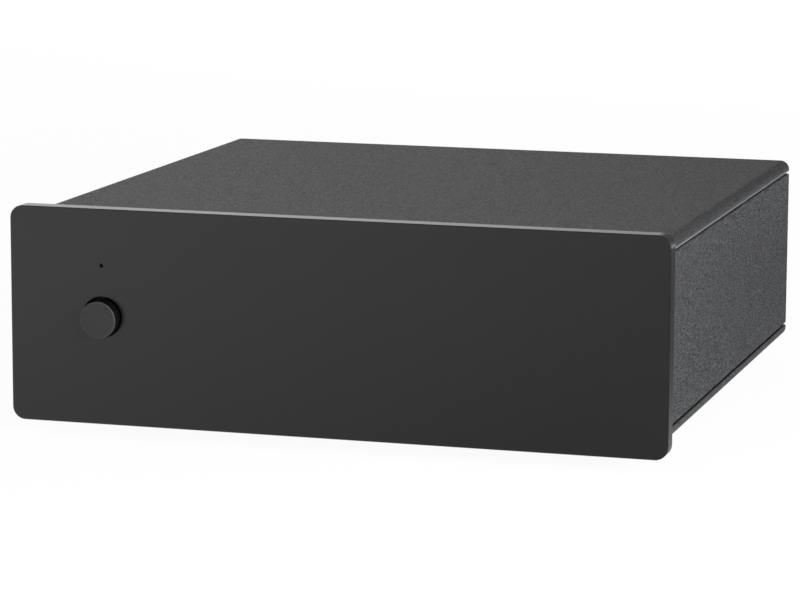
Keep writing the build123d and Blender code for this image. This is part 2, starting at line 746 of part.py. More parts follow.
def make_standoffs():
    standoffs = []
    hexagon = RegularPolygon(STANDOFF_RADIUS, 6)
    for x, y in standoff_places():
        standoff = extrude(Pos(x, y, floor_top) * hexagon, amount=STANDOFF_HEIGHT)
        standoff += post(STANDOFF_TAIL_RADIUS, x, y, floor_top - STANDOFF_TAIL_LENGTH, floor_top)
        bite = BOARD_SCREW_LENGTH - BOARD_THICKNESS
        standoffs.append(standoff - post(tap_radius, x, y, board_bottom - bite, board_bottom))
    return standoffs


def make_board_screws():
    """Screws of the front board, then those of the main board."""
    screw = pan_screw(BOARD_SCREW_LENGTH)
    front = [facing(screw, (x, front_board_back, z), (0, 1, 0)) for x, z in spacer_places()]
    return front + [Pos(x, y, board_top) * screw for x, y in standoff_places()]


def make_socket_board():
    board = block(
        min(socket_places()) - SOCKET_BOARD_MARGIN,
        max(socket_places()) + SOCKET_BOARD_MARGIN,
        socket_board_front,
        socket_board_back,
        board_top,
        board_top + SOCKET_BOARD_HEIGHT,
    )
    for x in socket_places():
        board -= rod(CONTACT_TAIL_RADIUS, x, socket_z, socket_board_front, socket_board_back)
    return board


# Phono sockets, from the tip inwards
sleeve_flange_y = rear_outer + WASHER_THICKNESS
sleeve_tip_y = sleeve_flange_y + SLEEVE_FLANGE_THICKNESS + SLEEVE_LENGTH
sleeve_tail_y = rear_inner - SLEEVE_TAIL_LENGTH
core_step_y = sleeve_flange_y + SLEEVE_FLANGE_THICKNESS
core_tip_y = sleeve_tip_y - CORE_TIP_RECESS


def make_sleeve(x):
    flange = hex_bar(SLEEVE_FLANGE_RADIUS, x, socket_z, sleeve_flange_y, core_step_y)
    barrel = rod(SLEEVE_RADIUS, x, socket_z, sleeve_flange_y, sleeve_tip_y)
    barrel = chamfer(barrel.edges().group_by(Axis.Y)[-1], SLEEVE_EDGE_BREAK)
    sleeve = flange + barrel + rod(SLEEVE_TAIL_RADIUS, x, socket_z, sleeve_tail_y, sleeve_flange_y)
    sleeve -= rod(CORE_FRONT_RADIUS, x, socket_z, core_step_y, sleeve_tip_y)
    return sleeve - rod(CORE_TAIL_RADIUS, x, socket_z, sleeve_tail_y, core_step_y)


def make_insulating_washers(x):
    """Outer washer with a shoulder that fills the panel's hole, and a flat inner washer."""
    outer = rod(WASHER_RADIUS, x, socket_z, rear_outer, sleeve_flange_y)
    outer += rod(WASHER_SHOULDER_RADIUS, x, socket_z, rear_inner, rear_outer)
    outer -= rod(SLEEVE_TAIL_RADIUS, x, socket_z, rear_inner, sleeve_flange_y)
    inner = rod(WASHER_RADIUS, x, socket_z, rear_inner - WASHER_THICKNESS, rear_inner)
    inner -= rod(SLEEVE_TAIL_RADIUS, x, socket_z, rear_inner - WASHER_THICKNESS, rear_inner)
    return [outer, inner]


def make_socket_core(x):
    core = rod(CORE_TAIL_RADIUS, x, socket_z, sleeve_tail_y, core_step_y)
    core += rod(CORE_FRONT_RADIUS, x, socket_z, core_step_y, core_tip_y)
    return core - rod(CONTACT_RADIUS, x, socket_z, sleeve_tail_y, core_tip_y)


def make_socket_contact(x):
    contact = rod(CONTACT_RADIUS, x, socket_z, sleeve_tail_y, core_tip_y)
    contact -= rod(CONTACT_BORE_RADIUS, x, socket_z, core_tip_y - CONTACT_BORE_DEPTH, core_tip_y)
    return contact + rod(CONTACT_TAIL_RADIUS, x, socket_z, socket_board_front, sleeve_tail_y)


def make_socket_nut(x):
    face = rear_inner - WASHER_THICKNESS
    nut = hex_bar(SOCKET_NUT_RADIUS, x, socket_z, face - SOCKET_NUT_THICKNESS, face)
    return nut - rod(SLEEVE_TAIL_RADIUS, x, socket_z, face - SOCKET_NUT_THICKNESS, face)


# Ground terminal
collar_face_y = rear_outer + POST_COLLAR_THICKNESS
washer_face_y = collar_face_y + GROUND_WASHER_THICKNESS
nut_face_y = washer_face_y + THUMB_NUT_LENGTH


def make_ground_post():
    stud = rod(POST_RADIUS, GROUND_PLACE, socket_z, rear_inner - POST_TAIL_LENGTH, rear_outer + POST_LENGTH)
    return stud + hex_bar(POST_COLLAR_RADIUS, GROUND_PLACE, socket_z, rear_outer, collar_face_y)


def make_ground_post_nut():
    nut = hex_bar(POST_NUT_RADIUS, GROUND_PLACE, socket_z, rear_inner - POST_NUT_THICKNESS, rear_inner)
    return nut - rod(POST_RADIUS, GROUND_PLACE, socket_z, rear_inner - POST_NUT_THICKNESS, rear_inner)


def make_ground_washer():
    bore = POST_RADIUS + RUNNING_CLEARANCE
    washer = rod(GROUND_WASHER_RADIUS, GROUND_PLACE, socket_z, collar_face_y, washer_face_y)
    return washer - rod(bore, GROUND_PLACE, socket_z, collar_face_y, washer_face_y)


def make_thumb_nut():
    nut = rod(THUMB_NUT_RADIUS, GROUND_PLACE, socket_z, washer_face_y, nut_face_y)
    nut = chamfer(nut.edges().filter_by(GeomType.CIRCLE), THUMB_NUT_EDGE_BREAK)
    nut -= rod(POST_RADIUS + RUNNING_CLEARANCE, GROUND_PLACE, socket_z, washer_face_y, nut_face_y)
    middle = Plane(origin=(GROUND_PLACE, washer_face_y, socket_z), z_dir=(0, 1, 0))
    grooves = PolarLocations(THUMB_NUT_RADIUS, THUMB_NUT_GROOVES)
    groove = Cylinder(THUMB_NUT_GROOVE_RADIUS, THUMB_NUT_LENGTH, align=BASE)
    return nut - [middle.location * place * groove for place in grooves]


# Low-voltage inlet
def make_inlet_body():
    half = INLET_WIDTH / 2
    body = block(
        inlet_x - half,
        inlet_x + half,
        rear_inner - INLET_DEPTH,
        rear_inner,
        board_top,
        board_top + INLET_HEIGHT,
    )
    body += rod(INLET_NOSE_RADIUS, inlet_x, inlet_z, rear_inner, rear_outer)
    body -= rod(INLET_BORE_RADIUS, inlet_x, inlet_z, rear_outer - INLET_BORE_DEPTH, rear_outer)
    return body - rod(INLET_PIN_RADIUS, inlet_x, inlet_z, rear_inner - INLET_DEPTH, rear_outer)


def make_inlet_pin():
    tip = rear_outer - INLET_PIN_SETBACK
    return rod(INLET_PIN_RADIUS, inlet_x, inlet_z, rear_inner - INLET_DEPTH, tip)


# Load knob and potentiometer
knob_back_y = rear_outer + KNOB_PANEL_GAP
knob_face_y = knob_back_y + KNOB_LENGTH
knob_cavity_y = knob_back_y + KNOB_CAVITY_DEPTH
shaft_tip_y = knob_cavity_y + POT_SHAFT_IN_KNOB


def make_knob():
    knob = rod(KNOB_RADIUS, KNOB_PLACE, socket_z, knob_back_y, knob_face_y)
    knob = chamfer(knob.edges().filter_by(GeomType.CIRCLE), KNOB_EDGE_BREAK)
    middle = Plane(origin=(KNOB_PLACE, knob_back_y, socket_z), z_dir=(0, 1, 0))
    ring = PolarLocations(KNOB_RADIUS + KNOB_FLUTE_RADIUS - KNOB_FLUTE_BITE, KNOB_FLUTES)
    flute = Cylinder(KNOB_FLUTE_RADIUS, KNOB_LENGTH, align=BASE)
    knob = knob - [middle.location * place * flute for place in ring]
    knob -= rod(KNOB_CAVITY_RADIUS, KNOB_PLACE, socket_z, knob_back_y, knob_cavity_y)
    knob -= rod(POT_SHAFT_RADIUS, KNOB_PLACE, socket_z, knob_cavity_y, shaft_tip_y)
    half = KNOB_POINTER_WIDTH / 2
    return knob - block(
        KNOB_PLACE - half,
        KNOB_PLACE + half,
        knob_face_y - KNOB_POINTER_DEPTH,
        knob_face_y,
        socket_z,
        socket_z + KNOB_RADIUS,
    )


def make_pot_shaft():
    return rod(POT_SHAFT_RADIUS, KNOB_PLACE, socket_z, rear_inner - POT_SHAFT_BEHIND_PANEL, shaft_tip_y)


def make_pot_body():
    half = POT_BODY_SIZE / 2
    body = block(
        KNOB_PLACE - half,
        KNOB_PLACE + half,
        rear_inner - POT_BODY_DEPTH,
        rear_inner,
        socket_z - half,
        socket_z + half,
    )
    bush_tip = rear_outer + POT_BUSH_LENGTH
    body += rod(POT_BUSH_RADIUS, KNOB_PLACE, socket_z, rear_inner, bush_tip)
    bore = POT_SHAFT_RADIUS + RUNNING_CLEARANCE
    return body - rod(bore, KNOB_PLACE, socket_z, rear_inner - POT_SHAFT_BEHIND_PANEL, bush_tip)


def make_pot_nut():
    tip = rear_outer + POT_NUT_THICKNESS
    nut = hex_bar(POT_NUT_RADIUS, KNOB_PLACE, socket_z, rear_outer, tip)
    return nut - rod(POT_BUSH_RADIUS, KNOB_PLACE, socket_z, rear_outer, tip)


# Slide switches; each slider is a T that cannot fall out of its slot
def slider_places(switch_x):
    """Middles of one block's sliders in X."""
    return [switch_x + (i - (SLIDERS_PER_SWITCH - 1) / 2) * SLIDER_PITCH for i in range(SLIDERS_PER_SWITCH)]


def slider_shape(x, spare, travel):
    """T with its foot inside the block; spare all round and travel make it the slot."""
    front = slide_switch_y - (SLIDER_LENGTH + SLIDER_TRAVEL) / 2
    y0 = front - spare
    y1 = front + SLIDER_LENGTH + travel + spare
    tip = slide_switch_face - SLIDER_REACH
    neck_top = slide_switch_face + SLIDER_NECK
    foot_top = neck_top + SLIDER_FOOT_THICKNESS + spare
    half = SLIDER_WIDTH / 2 + spare
    foot_half = half + SLIDER_FOOT_OVERHANG
    neck = block(x - half, x + half, y0, y1, tip, neck_top)
    return neck + block(x - foot_half, x + foot_half, y0, y1, neck_top - spare, foot_top)


def make_slider(x):
    """Slider at its front stop."""
    return slider_shape(x, 0, 0)


def make_slide_switch(switch_x):
    body = block(
        switch_x - slide_switch_length / 2,
        switch_x + slide_switch_length / 2,
        slide_switch_y - SLIDE_SWITCH_WIDTH / 2,
        slide_switch_y + SLIDE_SWITCH_WIDTH / 2,
        slide_switch_face,
        board_bottom,
    )
    for x in slider_places(switch_x):
        body -= slider_shape(x, SLIDER_CLEARANCE, SLIDER_TRAVEL)
    return body


# Parts standing on the main board
def on_board(shape, places):
    return [Pos(x, board_front + y, board_top) * shape for x, y in places]


def upright_box(length, width, height):
    """Moulded box standing at z = 0 with rounded upright edges."""
    outline = RectangleRounded(length, width, COMPONENT_CORNER_RADIUS)
    return extrude(outline, amount=height)


def both_channels(places):
    """Same places again on the other side of the middle, for the second channel."""
    return [(side * x, y) for side in (-1, 1) for x, y in places]


def make_electrolytics():
    can = Cylinder(ELECTROLYTIC_RADIUS, ELECTROLYTIC_HEIGHT, align=BASE)
    can = fillet(can.edges().group_by(Axis.Z)[-1], COMPONENT_CORNER_RADIUS)
    return on_board(can, both_channels(ELECTROLYTIC_PLACES))


def make_film_capacitors():
    box = upright_box(FILM_LENGTH, FILM_WIDTH, FILM_HEIGHT)
    return on_board(box, both_channels(FILM_PLACES))


def make_relays():
    box = upright_box(RELAY_LENGTH, RELAY_WIDTH, RELAY_HEIGHT)
    return on_board(box, both_channels(RELAY_PLACES))


def make_transistors():
    body = Cylinder(TRANSISTOR_RADIUS, TRANSISTOR_HEIGHT, align=BASE)
    body -= block(
        -TRANSISTOR_RADIUS,
        TRANSISTOR_RADIUS,
        TRANSISTOR_RADIUS - TRANSISTOR_FLAT_DEPTH,
        TRANSISTOR_RADIUS,
        0,
        TRANSISTOR_HEIGHT,
    )
    body = Pos(0, 0, TRANSISTOR_LEG_LENGTH) * body
    half = TRANSISTOR_LEG_WIDTH / 2
    for i in (-1, 0, 1):
        x = i * TRANSISTOR_LEG_PITCH
        body += block(x - half, x + half, -half, half, 0, TRANSISTOR_LEG_LENGTH)
    return on_board(body, both_channels(TRANSISTOR_PLACES))


def make_heat_sinks():
    """Back plate with fins, standing upright on the board."""
    sink = block(
        -HEAT_SINK_WIDTH / 2,
        HEAT_SINK_WIDTH / 2,
        0,
        HEAT_SINK_WALL,
        0,
        HEAT_SINK_HEIGHT,
    )
    pitch = (HEAT_SINK_WIDTH - HEAT_SINK_WALL) / (HEAT_SINK_FINS - 1)
    for i in range(HEAT_SINK_FINS):
        left = -HEAT_SINK_WIDTH / 2 + i * pitch
        sink += block(left, left + HEAT_SINK_WALL, 0, HEAT_SINK_DEPTH, 0, HEAT_SINK_HEIGHT)
    return on_board(sink, both_channels(HEAT_SINK_PLACES))


def make_regulators():
    """Regulators clamped to the flat front of the heat sinks."""
    body = Pos(0, -REGULATOR_THICKNESS / 2, 0) * Box(
        REGULATOR_WIDTH, REGULATOR_THICKNESS, REGULATOR_HEIGHT, align=BASE
    )
    return on_board(body, both_channels(HEAT_SINK_PLACES))


def make_chips():
    box = upright_box(CHIP_LENGTH, CHIP_WIDTH, CHIP_HEIGHT)
    return on_board(box, both_channels(CHIP_PLACES))


def main():
    os.makedirs("parts", exist_ok=True)
    right_side = make_right_side_panel()
    save("front_panel", make_front_panel())
    save("front_subpanel", make_front_subpanel())
    save("top_cover", make_top_cover())
    save("bottom_cover", make_bottom_cover())
    save("right_side_panel", right_side)
    save("left_side_panel", mirror(right_side, about=Plane.YZ))
    save("rear_panel", make_rear_panel())
    save("end_panel_screws", *make_end_screws())
    save("front_panel_screws", *make_front_panel_screws())
    save("top_cover_screws", *make_top_cover_screws())
    save("bottom_cover_screws", *make_bottom_cover_screws())
    save("rubber_feet", *make_feet())
    save("foot_screws", *make_foot_screws())
    save("power_button_cap", make_button_cap())
    save("power_button_stem", make_button_stem())
    save("button_guide", make_button_guide())
    save("button_spring", make_button_spring())
    save("switch_housing", make_switch_housing())
    save("light_pipe", make_light_pipe())
    save("status_light", make_status_led())
    save("front_board", make_front_board())
    save("front_board_spacers", *make_spacers())
    save("ribbon_cable", make_ribbon_cable())
    save("ribbon_connectors", *make_ribbon_connectors())
    save("main_board", make_main_board())
    save("main_board_standoffs", *make_standoffs())
    save("board_screws", *make_board_screws())
    save("socket_board", make_socket_board())
    save("socket_sleeves", *[make_sleeve(x) for x in socket_places()])
    for colour, places in zip(("white", "red"), zip(output_places, input_places)):
        washers = [washer for x in places for washer in make_insulating_washers(x)]
        save(colour + "_socket_washers", *washers)
    save("socket_cores", *[make_socket_core(x) for x in socket_places()])
    save("socket_contacts", *[make_socket_contact(x) for x in socket_places()])
    save("socket_nuts", *[make_socket_nut(x) for x in socket_places()])
    save("ground_post", make_ground_post())
    save("ground_post_nut", make_ground_post_nut())
    save("ground_washer", make_ground_washer())
    save("ground_thumb_nut", make_thumb_nut())
    save("power_inlet", make_inlet_body())
    save("power_inlet_pin", make_inlet_pin())
    save("load_knob", make_knob())
    save("load_pot_shaft", make_pot_shaft())
    save("load_pot_body", make_pot_body())
    save("load_pot_nut", make_pot_nut())
    save("slide_switch_blocks", *[make_slide_switch(x) for x in SLIDE_SWITCH_PLACES])
    for channel, switch_x in zip(("left", "right"), SLIDE_SWITCH_PLACES):
        for number, x in enumerate(slider_places(switch_x), 1):
            save(f"{channel}_slider_{number}", make_slider(x))
    save("electrolytic_capacitors", *make_electrolytics())
    save("film_capacitors", *make_film_capacitors())
    save("relays", *make_relays())
    save("transistors", *make_transistors())
    save("heat_sinks", *make_heat_sinks())
    save("regulators", *make_regulators())
    save("integrated_circuits", *make_chips())
    print("whole object", PANEL_WIDTH, "by", total_depth, "by", panel_top)


if __name__ == "__main__":
    main()
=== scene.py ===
import json
import math

import bpy
import numpy as np
from mathutils import Matrix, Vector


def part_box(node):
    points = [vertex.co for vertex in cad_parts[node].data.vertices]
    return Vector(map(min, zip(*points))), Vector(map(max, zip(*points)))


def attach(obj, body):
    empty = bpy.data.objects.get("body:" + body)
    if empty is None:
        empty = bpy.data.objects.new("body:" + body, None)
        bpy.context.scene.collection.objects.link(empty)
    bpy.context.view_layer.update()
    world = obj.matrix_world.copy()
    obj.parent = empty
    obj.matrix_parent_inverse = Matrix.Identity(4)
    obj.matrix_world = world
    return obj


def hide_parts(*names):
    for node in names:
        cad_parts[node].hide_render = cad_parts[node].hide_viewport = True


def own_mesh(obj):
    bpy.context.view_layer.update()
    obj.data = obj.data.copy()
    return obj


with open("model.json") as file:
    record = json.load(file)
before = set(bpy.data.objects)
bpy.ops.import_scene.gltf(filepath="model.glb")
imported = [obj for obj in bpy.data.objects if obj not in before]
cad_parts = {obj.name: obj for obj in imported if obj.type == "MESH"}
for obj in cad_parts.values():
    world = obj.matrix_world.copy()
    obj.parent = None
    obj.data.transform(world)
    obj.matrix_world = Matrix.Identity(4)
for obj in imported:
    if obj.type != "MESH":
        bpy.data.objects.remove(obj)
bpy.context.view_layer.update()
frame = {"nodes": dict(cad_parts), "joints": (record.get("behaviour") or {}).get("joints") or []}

bl_info = {
    "name": "Phono Preamp Finish",
    "version": (1, 0, 0),
    "blender": (4, 5, 0),
    "location": "View3D > Sidebar > Preamp",
    "description": "Finishes, dial marks, floor, lamps and camera for the phono preamp",
    "category": "Object",
}

# Everything is in metres, in the model's own frame: front faces -Y, the rear fittings face +Y.
NODES = frame["nodes"]
PER_MM = 1000.0
MM = 0.001

# A powder coat grain's tone is an even draw raised to this power.
FLECK_POWER = 2.5
# Shares of a band's or an edge's width between which one tone passes into the next: the painted
# highlight along the upper cover's rims, and the button's lighter face and the painted highlight on
# its edge.
RIM_HIGHLIGHT_FADE = (0.6, 1.2)
TURNED_FACE_FADE = (0.8, 1.1)
TURNED_RIM_FADE = 0.7

# Tracks, cable ridges and capacitor bands; the stripe and the crown each fade between two places.
TRACKS_PER_MM = 0.55
RIBBON_PITCH_MM = 1.27
RIBBON_STRIPE = (0.0011, 0.0013)
SLEEVE_BAND_PITCH_MM = 13.0
SLEEVE_CROWN = (0.0004, 0.0002)

# Paint in the knob's groove: from the axis, from the knob's side, and its two depths in the face.
POINTER_HALF_WIDTH = 0.00038
POINTER_START = 0.0008
POINTER_END_GAP = 0.0012
POINTER_DEPTHS = (0.00038, 0.00006)
FONT_SIZE_TO_HEIGHT = 1.4

# Where the floor's tone in mirrors changes: left to middle, middle to right, and near to far.
# The bright left is a painted pool of light and the dark right a painted shadow of the object.
FLOOR_MIDDLE_X = (-0.25, 0.06)
FLOOR_SHADOW_X = (0.11, 0.14)
FLOOR_FAR_Y = (0.35, 0.6)
# The way to the backdrop, and how far along it a ray points where the backdrop starts and is full.
BACKDROP_WAY = (-0.56, 0.82, 0.14)
BACKDROP_EDGE = (0.855, 0.98)

# Each lamp's place, the point that it faces, and its width and height.
KEY_LAMP = ((-1.3, -1.0, 1.1), (0.0, 0.0, 0.03), (1.6, 1.2))
FILL_LAMP = ((0.58, -0.55, 0.24), (0.1, -0.03, 0.045), (0.4, 0.16))
REAR_LAMP = ((0.0, 1.6, 0.3), (0.0, 0.1, 0.04), (1.2, 0.5))
SENSOR_WIDTH_MM = 36.0
CAMERA_NEAR = 0.05
CAMERA_FAR = 50.0


# ---------------------------------------------------------------- node trees
class Finish:
    """One procedural material under construction, with a Principled shader at its end."""

    def __init__(self, name, **shader_values):
        self.material = bpy.data.materials.new(name)
        self.material.use_nodes = True
        self.tree = self.material.node_tree
        self.tree.nodes.clear()
        self.output = self.tree.nodes.new("ShaderNodeOutputMaterial")
        self.shader = self.tree.nodes.new("ShaderNodeBsdfPrincipled")
        self.tree.links.new(self.shader.outputs["BSDF"], self.output.inputs["Surface"])
        self.coords = self.tree.nodes.new("ShaderNodeTexCoord").outputs["Object"]
        self.set(self.shader, **shader_values)

    def set(self, node, **values):
        """Fills sockets by name, with _ for a space; a socket as a value becomes a link."""
        for key, value in values.items():
            socket = node.inputs[key.replace("_", " ")]
            if isinstance(value, bpy.types.NodeSocket):
                self.tree.links.new(value, socket)
            elif socket.type == "RGBA" and len(value) == 3:
                socket.default_value = (*value, 1.0)
            else:
                socket.default_value = value
        return node

    def stretched(self, scale):
        """The object's coordinates multiplied by scale, so that a pattern can be drawn out."""
        mapping = self.tree.nodes.new("ShaderNodeMapping")
        self.set(mapping, Vector=self.coords, Scale=scale)
        return mapping.outputs["Vector"]

    def noise(self, per_mm, detail=2.0, stretch=None, roughness=0.5):
        """Smooth noise with so many cells to a millimetre, about 0.5 on average."""
        node = self.tree.nodes.new("ShaderNodeTexNoise")
        where = self.stretched(stretch) if stretch else self.coords
        self.set(node, Vector=where, Scale=per_mm * PER_MM, Detail=detail, Roughness=roughness)
        return node.outputs["Fac"]

    def cells(self, per_mm):
        """Distance to the nearest of points scattered at so many to a millimetre."""
        node = self.tree.nodes.new("ShaderNodeTexVoronoi")
        self.set(node, Vector=self.coords, Scale=per_mm * PER_MM)
        return node.outputs["Distance"]

    def speckle(self, per_mm, stretch=(1.0, 1.0, 1.0)):
        """One even tone for each cell round such points, from 0 to 1 and 0.5 on average."""
        node = self.tree.nodes.new("ShaderNodeTexVoronoi")
        self.set(node, Vector=self.stretched(stretch), Scale=per_mm * PER_MM)
        parts = self.tree.nodes.new("ShaderNodeSeparateColor")
        self.set(parts, Color=node.outputs["Color"])
        return parts.outputs["Red"]

    def ramp(self, value, low, high, out_low=0.0, out_high=1.0):
        """value from low to high mapped straight to out_low to out_high, and held outside."""
        node = self.tree.nodes.new("ShaderNodeMapRange")
        self.set(node, Value=value, From_Min=low, From_Max=high, To_Min=out_low, To_Max=out_high)
        return node.outputs["Result"]

    def math(self, operation, a, b=0.0):
        """The two values put together by one arithmetic operation."""
        node = self.tree.nodes.new("ShaderNodeMath")
        node.operation = operation
        for socket, value in zip(node.inputs, (a, b)):
            if isinstance(value, bpy.types.NodeSocket):
                self.tree.links.new(value, socket)
            else:
                socket.default_value = value
        return node.outputs["Value"]

    def blend(self, share, a, b):
        """Colour a where share is 0 and b where it is 1."""
        node = self.tree.nodes.new("ShaderNodeMix")
        node.data_type = "RGBA"
        sockets = [s for s in node.inputs if s.type == "RGBA"]
        self.tree.links.new(share, node.inputs["Factor"])
        for socket, value in zip(sockets, (a, b)):
            if isinstance(value, bpy.types.NodeSocket):
                self.tree.links.new(value, socket)
            else:
                socket.default_value = (*value[:3], 1.0)
        return next(s for s in node.outputs if s.type == "RGBA")

    def shade(self, colour, share, spread):
        """colour made lighter and darker by up to spread as share goes from 0 to 1."""
        low = [c * (1.0 - spread) for c in colour[:3]]
        high = [c * (1.0 + spread) for c in colour[:3]]
        return self.blend(share, low, high)

    def bump(self, height, depth_mm, strength=1.0, after=None):
        """Normal of a relief depth_mm deep, laid over the relief after."""
        node = self.tree.nodes.new("ShaderNodeBump")
        self.set(node, Strength=strength, Distance=depth_mm * MM, Height=height)
        if after is not None:
            self.set(node, Normal=after)
        return node.outputs["Normal"]

    def split(self):
        """The object's X, Y and Z as three values."""
        node = self.tree.nodes.new("ShaderNodeSeparateXYZ")
        self.set(node, Vector=self.coords)
        return node.outputs["X"], node.outputs["Y"], node.outputs["Z"]


# ---------------------------------------------------------------- finishes
def anodised(name, settings, sheen=0.5, painted_light_layers=()):
    """Fine black anodising: a dark dye, seven parts drawn out lines to three parts faint cloud.

    sheen is the specular level. painted_light_layers holds triples of a function, a colour and a
    roughness, each colour painted over the dye as light or shade: given the finish, the function
    returns a share from 0 to 1, which is 1 where they hold.
    """
    f = Finish(name, Metallic=0.0, Specular_IOR_Level=sheen)
    drawn = f.noise(0.9, detail=3.0, stretch=(0.12, 1.0, 2.6))
    fine = f.noise(5.0, 1.0)
    cloud = f.noise(0.02, 2.0)
    tone = f.math("ADD", f.math("MULTIPLY", drawn, 0.7), f.math("MULTIPLY", cloud, 0.3))
    colour = f.shade(settings.anodised_colour, tone, settings.anodised_variation)
    rough = settings.anodised_roughness
    # Painted light: each layer's colour is laid over the dye where its share is 1.
    for where, dye, dullness in painted_light_layers:
        share = where(f)
        colour = f.blend(share, colour, dye)
        rough = f.ramp(share, 0.0, 1.0, rough, dullness)
    relief = f.bump(drawn, settings.anodised_line_depth)
    relief = f.bump(fine, settings.anodised_line_depth, 0.5, relief)
    f.set(f.shader, Base_Color=colour, Roughness=rough, Normal=relief)
    return f.material


def turned_face(f, node, depth):
    """1 on the front of a disc about an axis along Y, and 0 from depth behind it."""
    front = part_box(node)[0].y
    near, far = (front + depth * share for share in TURNED_FACE_FADE)
    return f.ramp(f.split()[1], near, far, 1.0, 0.0)


def turned_edge(f, node, width):
    """1 on the rounded edge at the front of a disc about an axis along Y, and 0 elsewhere."""
    low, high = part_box(node)
    x, _, z = f.split()
    across = [
        f.math("POWER", f.math("SUBTRACT", value, middle), 2.0)
        for value, middle in ((x, (low.x + high.x) / 2), (z, (low.z + high.z) / 2))
    ]
    radius = f.math("SQRT", f.math("ADD", *across))
    outer = (high.x - low.x) / 2
    highlight_rim = f.ramp(radius, outer - width, outer - width * TURNED_RIM_FADE)
    return f.math("MULTIPLY", highlight_rim, turned_face(f, node, width))


def powder_coat(name, settings, colour, variation, depth_mm, stretch=(1.0, 1.0, 1.0), edge=None):
    """Fine-textured black powder coat: packed grains, most of them dark and a few light.

    A grain's tone is an even draw raised to a power; the dark and light ends are set so that
    colour stays the average. Dark grains are a quarter duller than the coat, and light ones a
    quarter glossier. edge is a height where a painted band is full, the height where it has
    ended, and its colour; the band is painted light or shade, such as a painted highlight along
    the rims or painted shade in a seam.
    """
    f = Finish(name, Metallic=0.0, Specular_IOR_Level=settings.coat_sheen)
    grains = f.speckle(settings.coat_grains_per_mm, stretch)
    flecks = f.math("POWER", grains, FLECK_POWER)
    swell = f.noise(settings.coat_grains_per_mm * 0.6, 1.0)
    dark = [c * (1.0 - variation) for c in colour]
    light = [c * (1.0 + variation * FLECK_POWER) for c in colour]
    coat = f.blend(flecks, dark, light)
    # Painted highlight or painted shade in a band by height, laid over the coat's colour.
    if edge is not None:
        start, end, edge_colour = edge
        low, high = min(start, end), max(start, end)
        at_low = 1.0 if start < end else 0.0
        share = f.ramp(f.split()[2], low, high, at_low, 1.0 - at_low)
        coat = f.blend(share, coat, edge_colour)
    rough = settings.coat_roughness
    f.set(
        f.shader,
        Base_Color=coat,
        Roughness=f.ramp(grains, 0.0, 1.0, rough * 1.25, rough * 0.75),
        Normal=f.bump(swell, depth_mm),
    )
    return f.material


def metal(name, colour, roughness, spread=0.06, lines=(1.0, 1.0, 1.0), depth_mm=0.002):
    """Bare or plated metal: colour and a shallow relief follow the same fine noise."""
    f = Finish(name, Metallic=1.0)
    scratch = f.noise(3.0, 3.0, lines)
    patch = f.noise(0.3, 2.0)
    gloss = f.ramp(patch, 0.3, 0.7, roughness * 0.8, roughness * 1.25)
    f.set(
        f.shader,
        Base_Color=f.shade(colour, scratch, spread),
        Roughness=gloss,
        Normal=f.bump(scratch, depth_mm),
    )
    return f.material


def moulding(name, colour, roughness, grain_per_mm=6.0, depth_mm=0.006, spread=0.12):
    """Moulded plastic: spark-eroded grain in the relief and a slow drift of tone."""
    f = Finish(name, Metallic=0.0)
    grain = f.noise(grain_per_mm, 2.0)
    drift = f.noise(0.15, 2.0)
    f.set(
        f.shader,
        Base_Color=f.shade(colour, drift, spread),
        Roughness=f.ramp(grain, 0.3, 0.7, roughness * 0.9, roughness * 1.1),
        Normal=f.bump(grain, depth_mm),
    )
    return f.material


def rubber(name, colour):
    """Dull rubber with a fine stipple and a little dust in soft patches."""
    f = Finish(name, Roughness=0.78, Metallic=0.0)
    stipple = f.cells(2.6)
    dust = f.ramp(f.noise(0.8, 3.0), 0.45, 0.75)
    base = f.blend(dust, colour, [c * 1.9 for c in colour[:3]])
    f.set(f.shader, Base_Color=base, Normal=f.bump(stipple, 0.03, 0.6))
    return f.material


def clear_moulding(name, colour):
    """Clear acrylic light guide, a little hazy inside."""
    f = Finish(name, Metallic=0.0, Transmission_Weight=0.9, IOR=1.49)
    haze = f.noise(1.5, 2.0)
    f.set(f.shader, Base_Color=f.shade(colour, haze, 0.04))
    f.set(f.shader, Roughness=f.ramp(haze, 0.3, 0.7, 0.05, 0.14))
    return f.material


def lamp_lens(name, colour):
    """Tinted lamp body, a little darker and lighter in a soft cloud."""
    f = Finish(name, Metallic=0.0, Transmission_Weight=0.55, IOR=1.5)
    cloud = f.noise(1.2, 1.0)
    f.set(f.shader, Base_Color=f.shade(colour, cloud, 0.1))
    f.set(f.shader, Roughness=f.ramp(cloud, 0.3, 0.7, 0.12, 0.2))
    return f.material


def circuit_board(name, colour):
    """Solder mask over copper: tracks run in lanes along one axis or the other, patch by patch."""
    f = Finish(name, Metallic=0.0)
    x, y, z = f.split()
    patch = f.ramp(f.noise(0.06, 0.0), 0.48, 0.52)
    lanes = []
    for along in (x, f.math("ADD", y, z)):
        wave = f.math("SINE", f.math("MULTIPLY", along, 2.0 * math.pi * TRACKS_PER_MM * PER_MM))
        lanes.append(f.ramp(wave, 0.35, 0.5))
    picked = f.math(
        "ADD",
        f.math("MULTIPLY", lanes[0], patch),
        f.math("MULTIPLY", lanes[1], f.math("SUBTRACT", 1.0, patch)),
    )
    gaps = f.ramp(f.noise(0.2, 1.0), 0.47, 0.5)
    track = f.math("MULTIPLY", picked, gaps)
    lighter = [min(1.0, c * 1.7 + 0.01) for c in colour[:3]]
    f.set(
        f.shader,
        Base_Color=f.blend(track, colour, lighter),
        Roughness=f.ramp(f.noise(2.0, 2.0), 0.3, 0.7, 0.28, 0.42),
        Normal=f.bump(track, 0.035),
    )
    return f.material


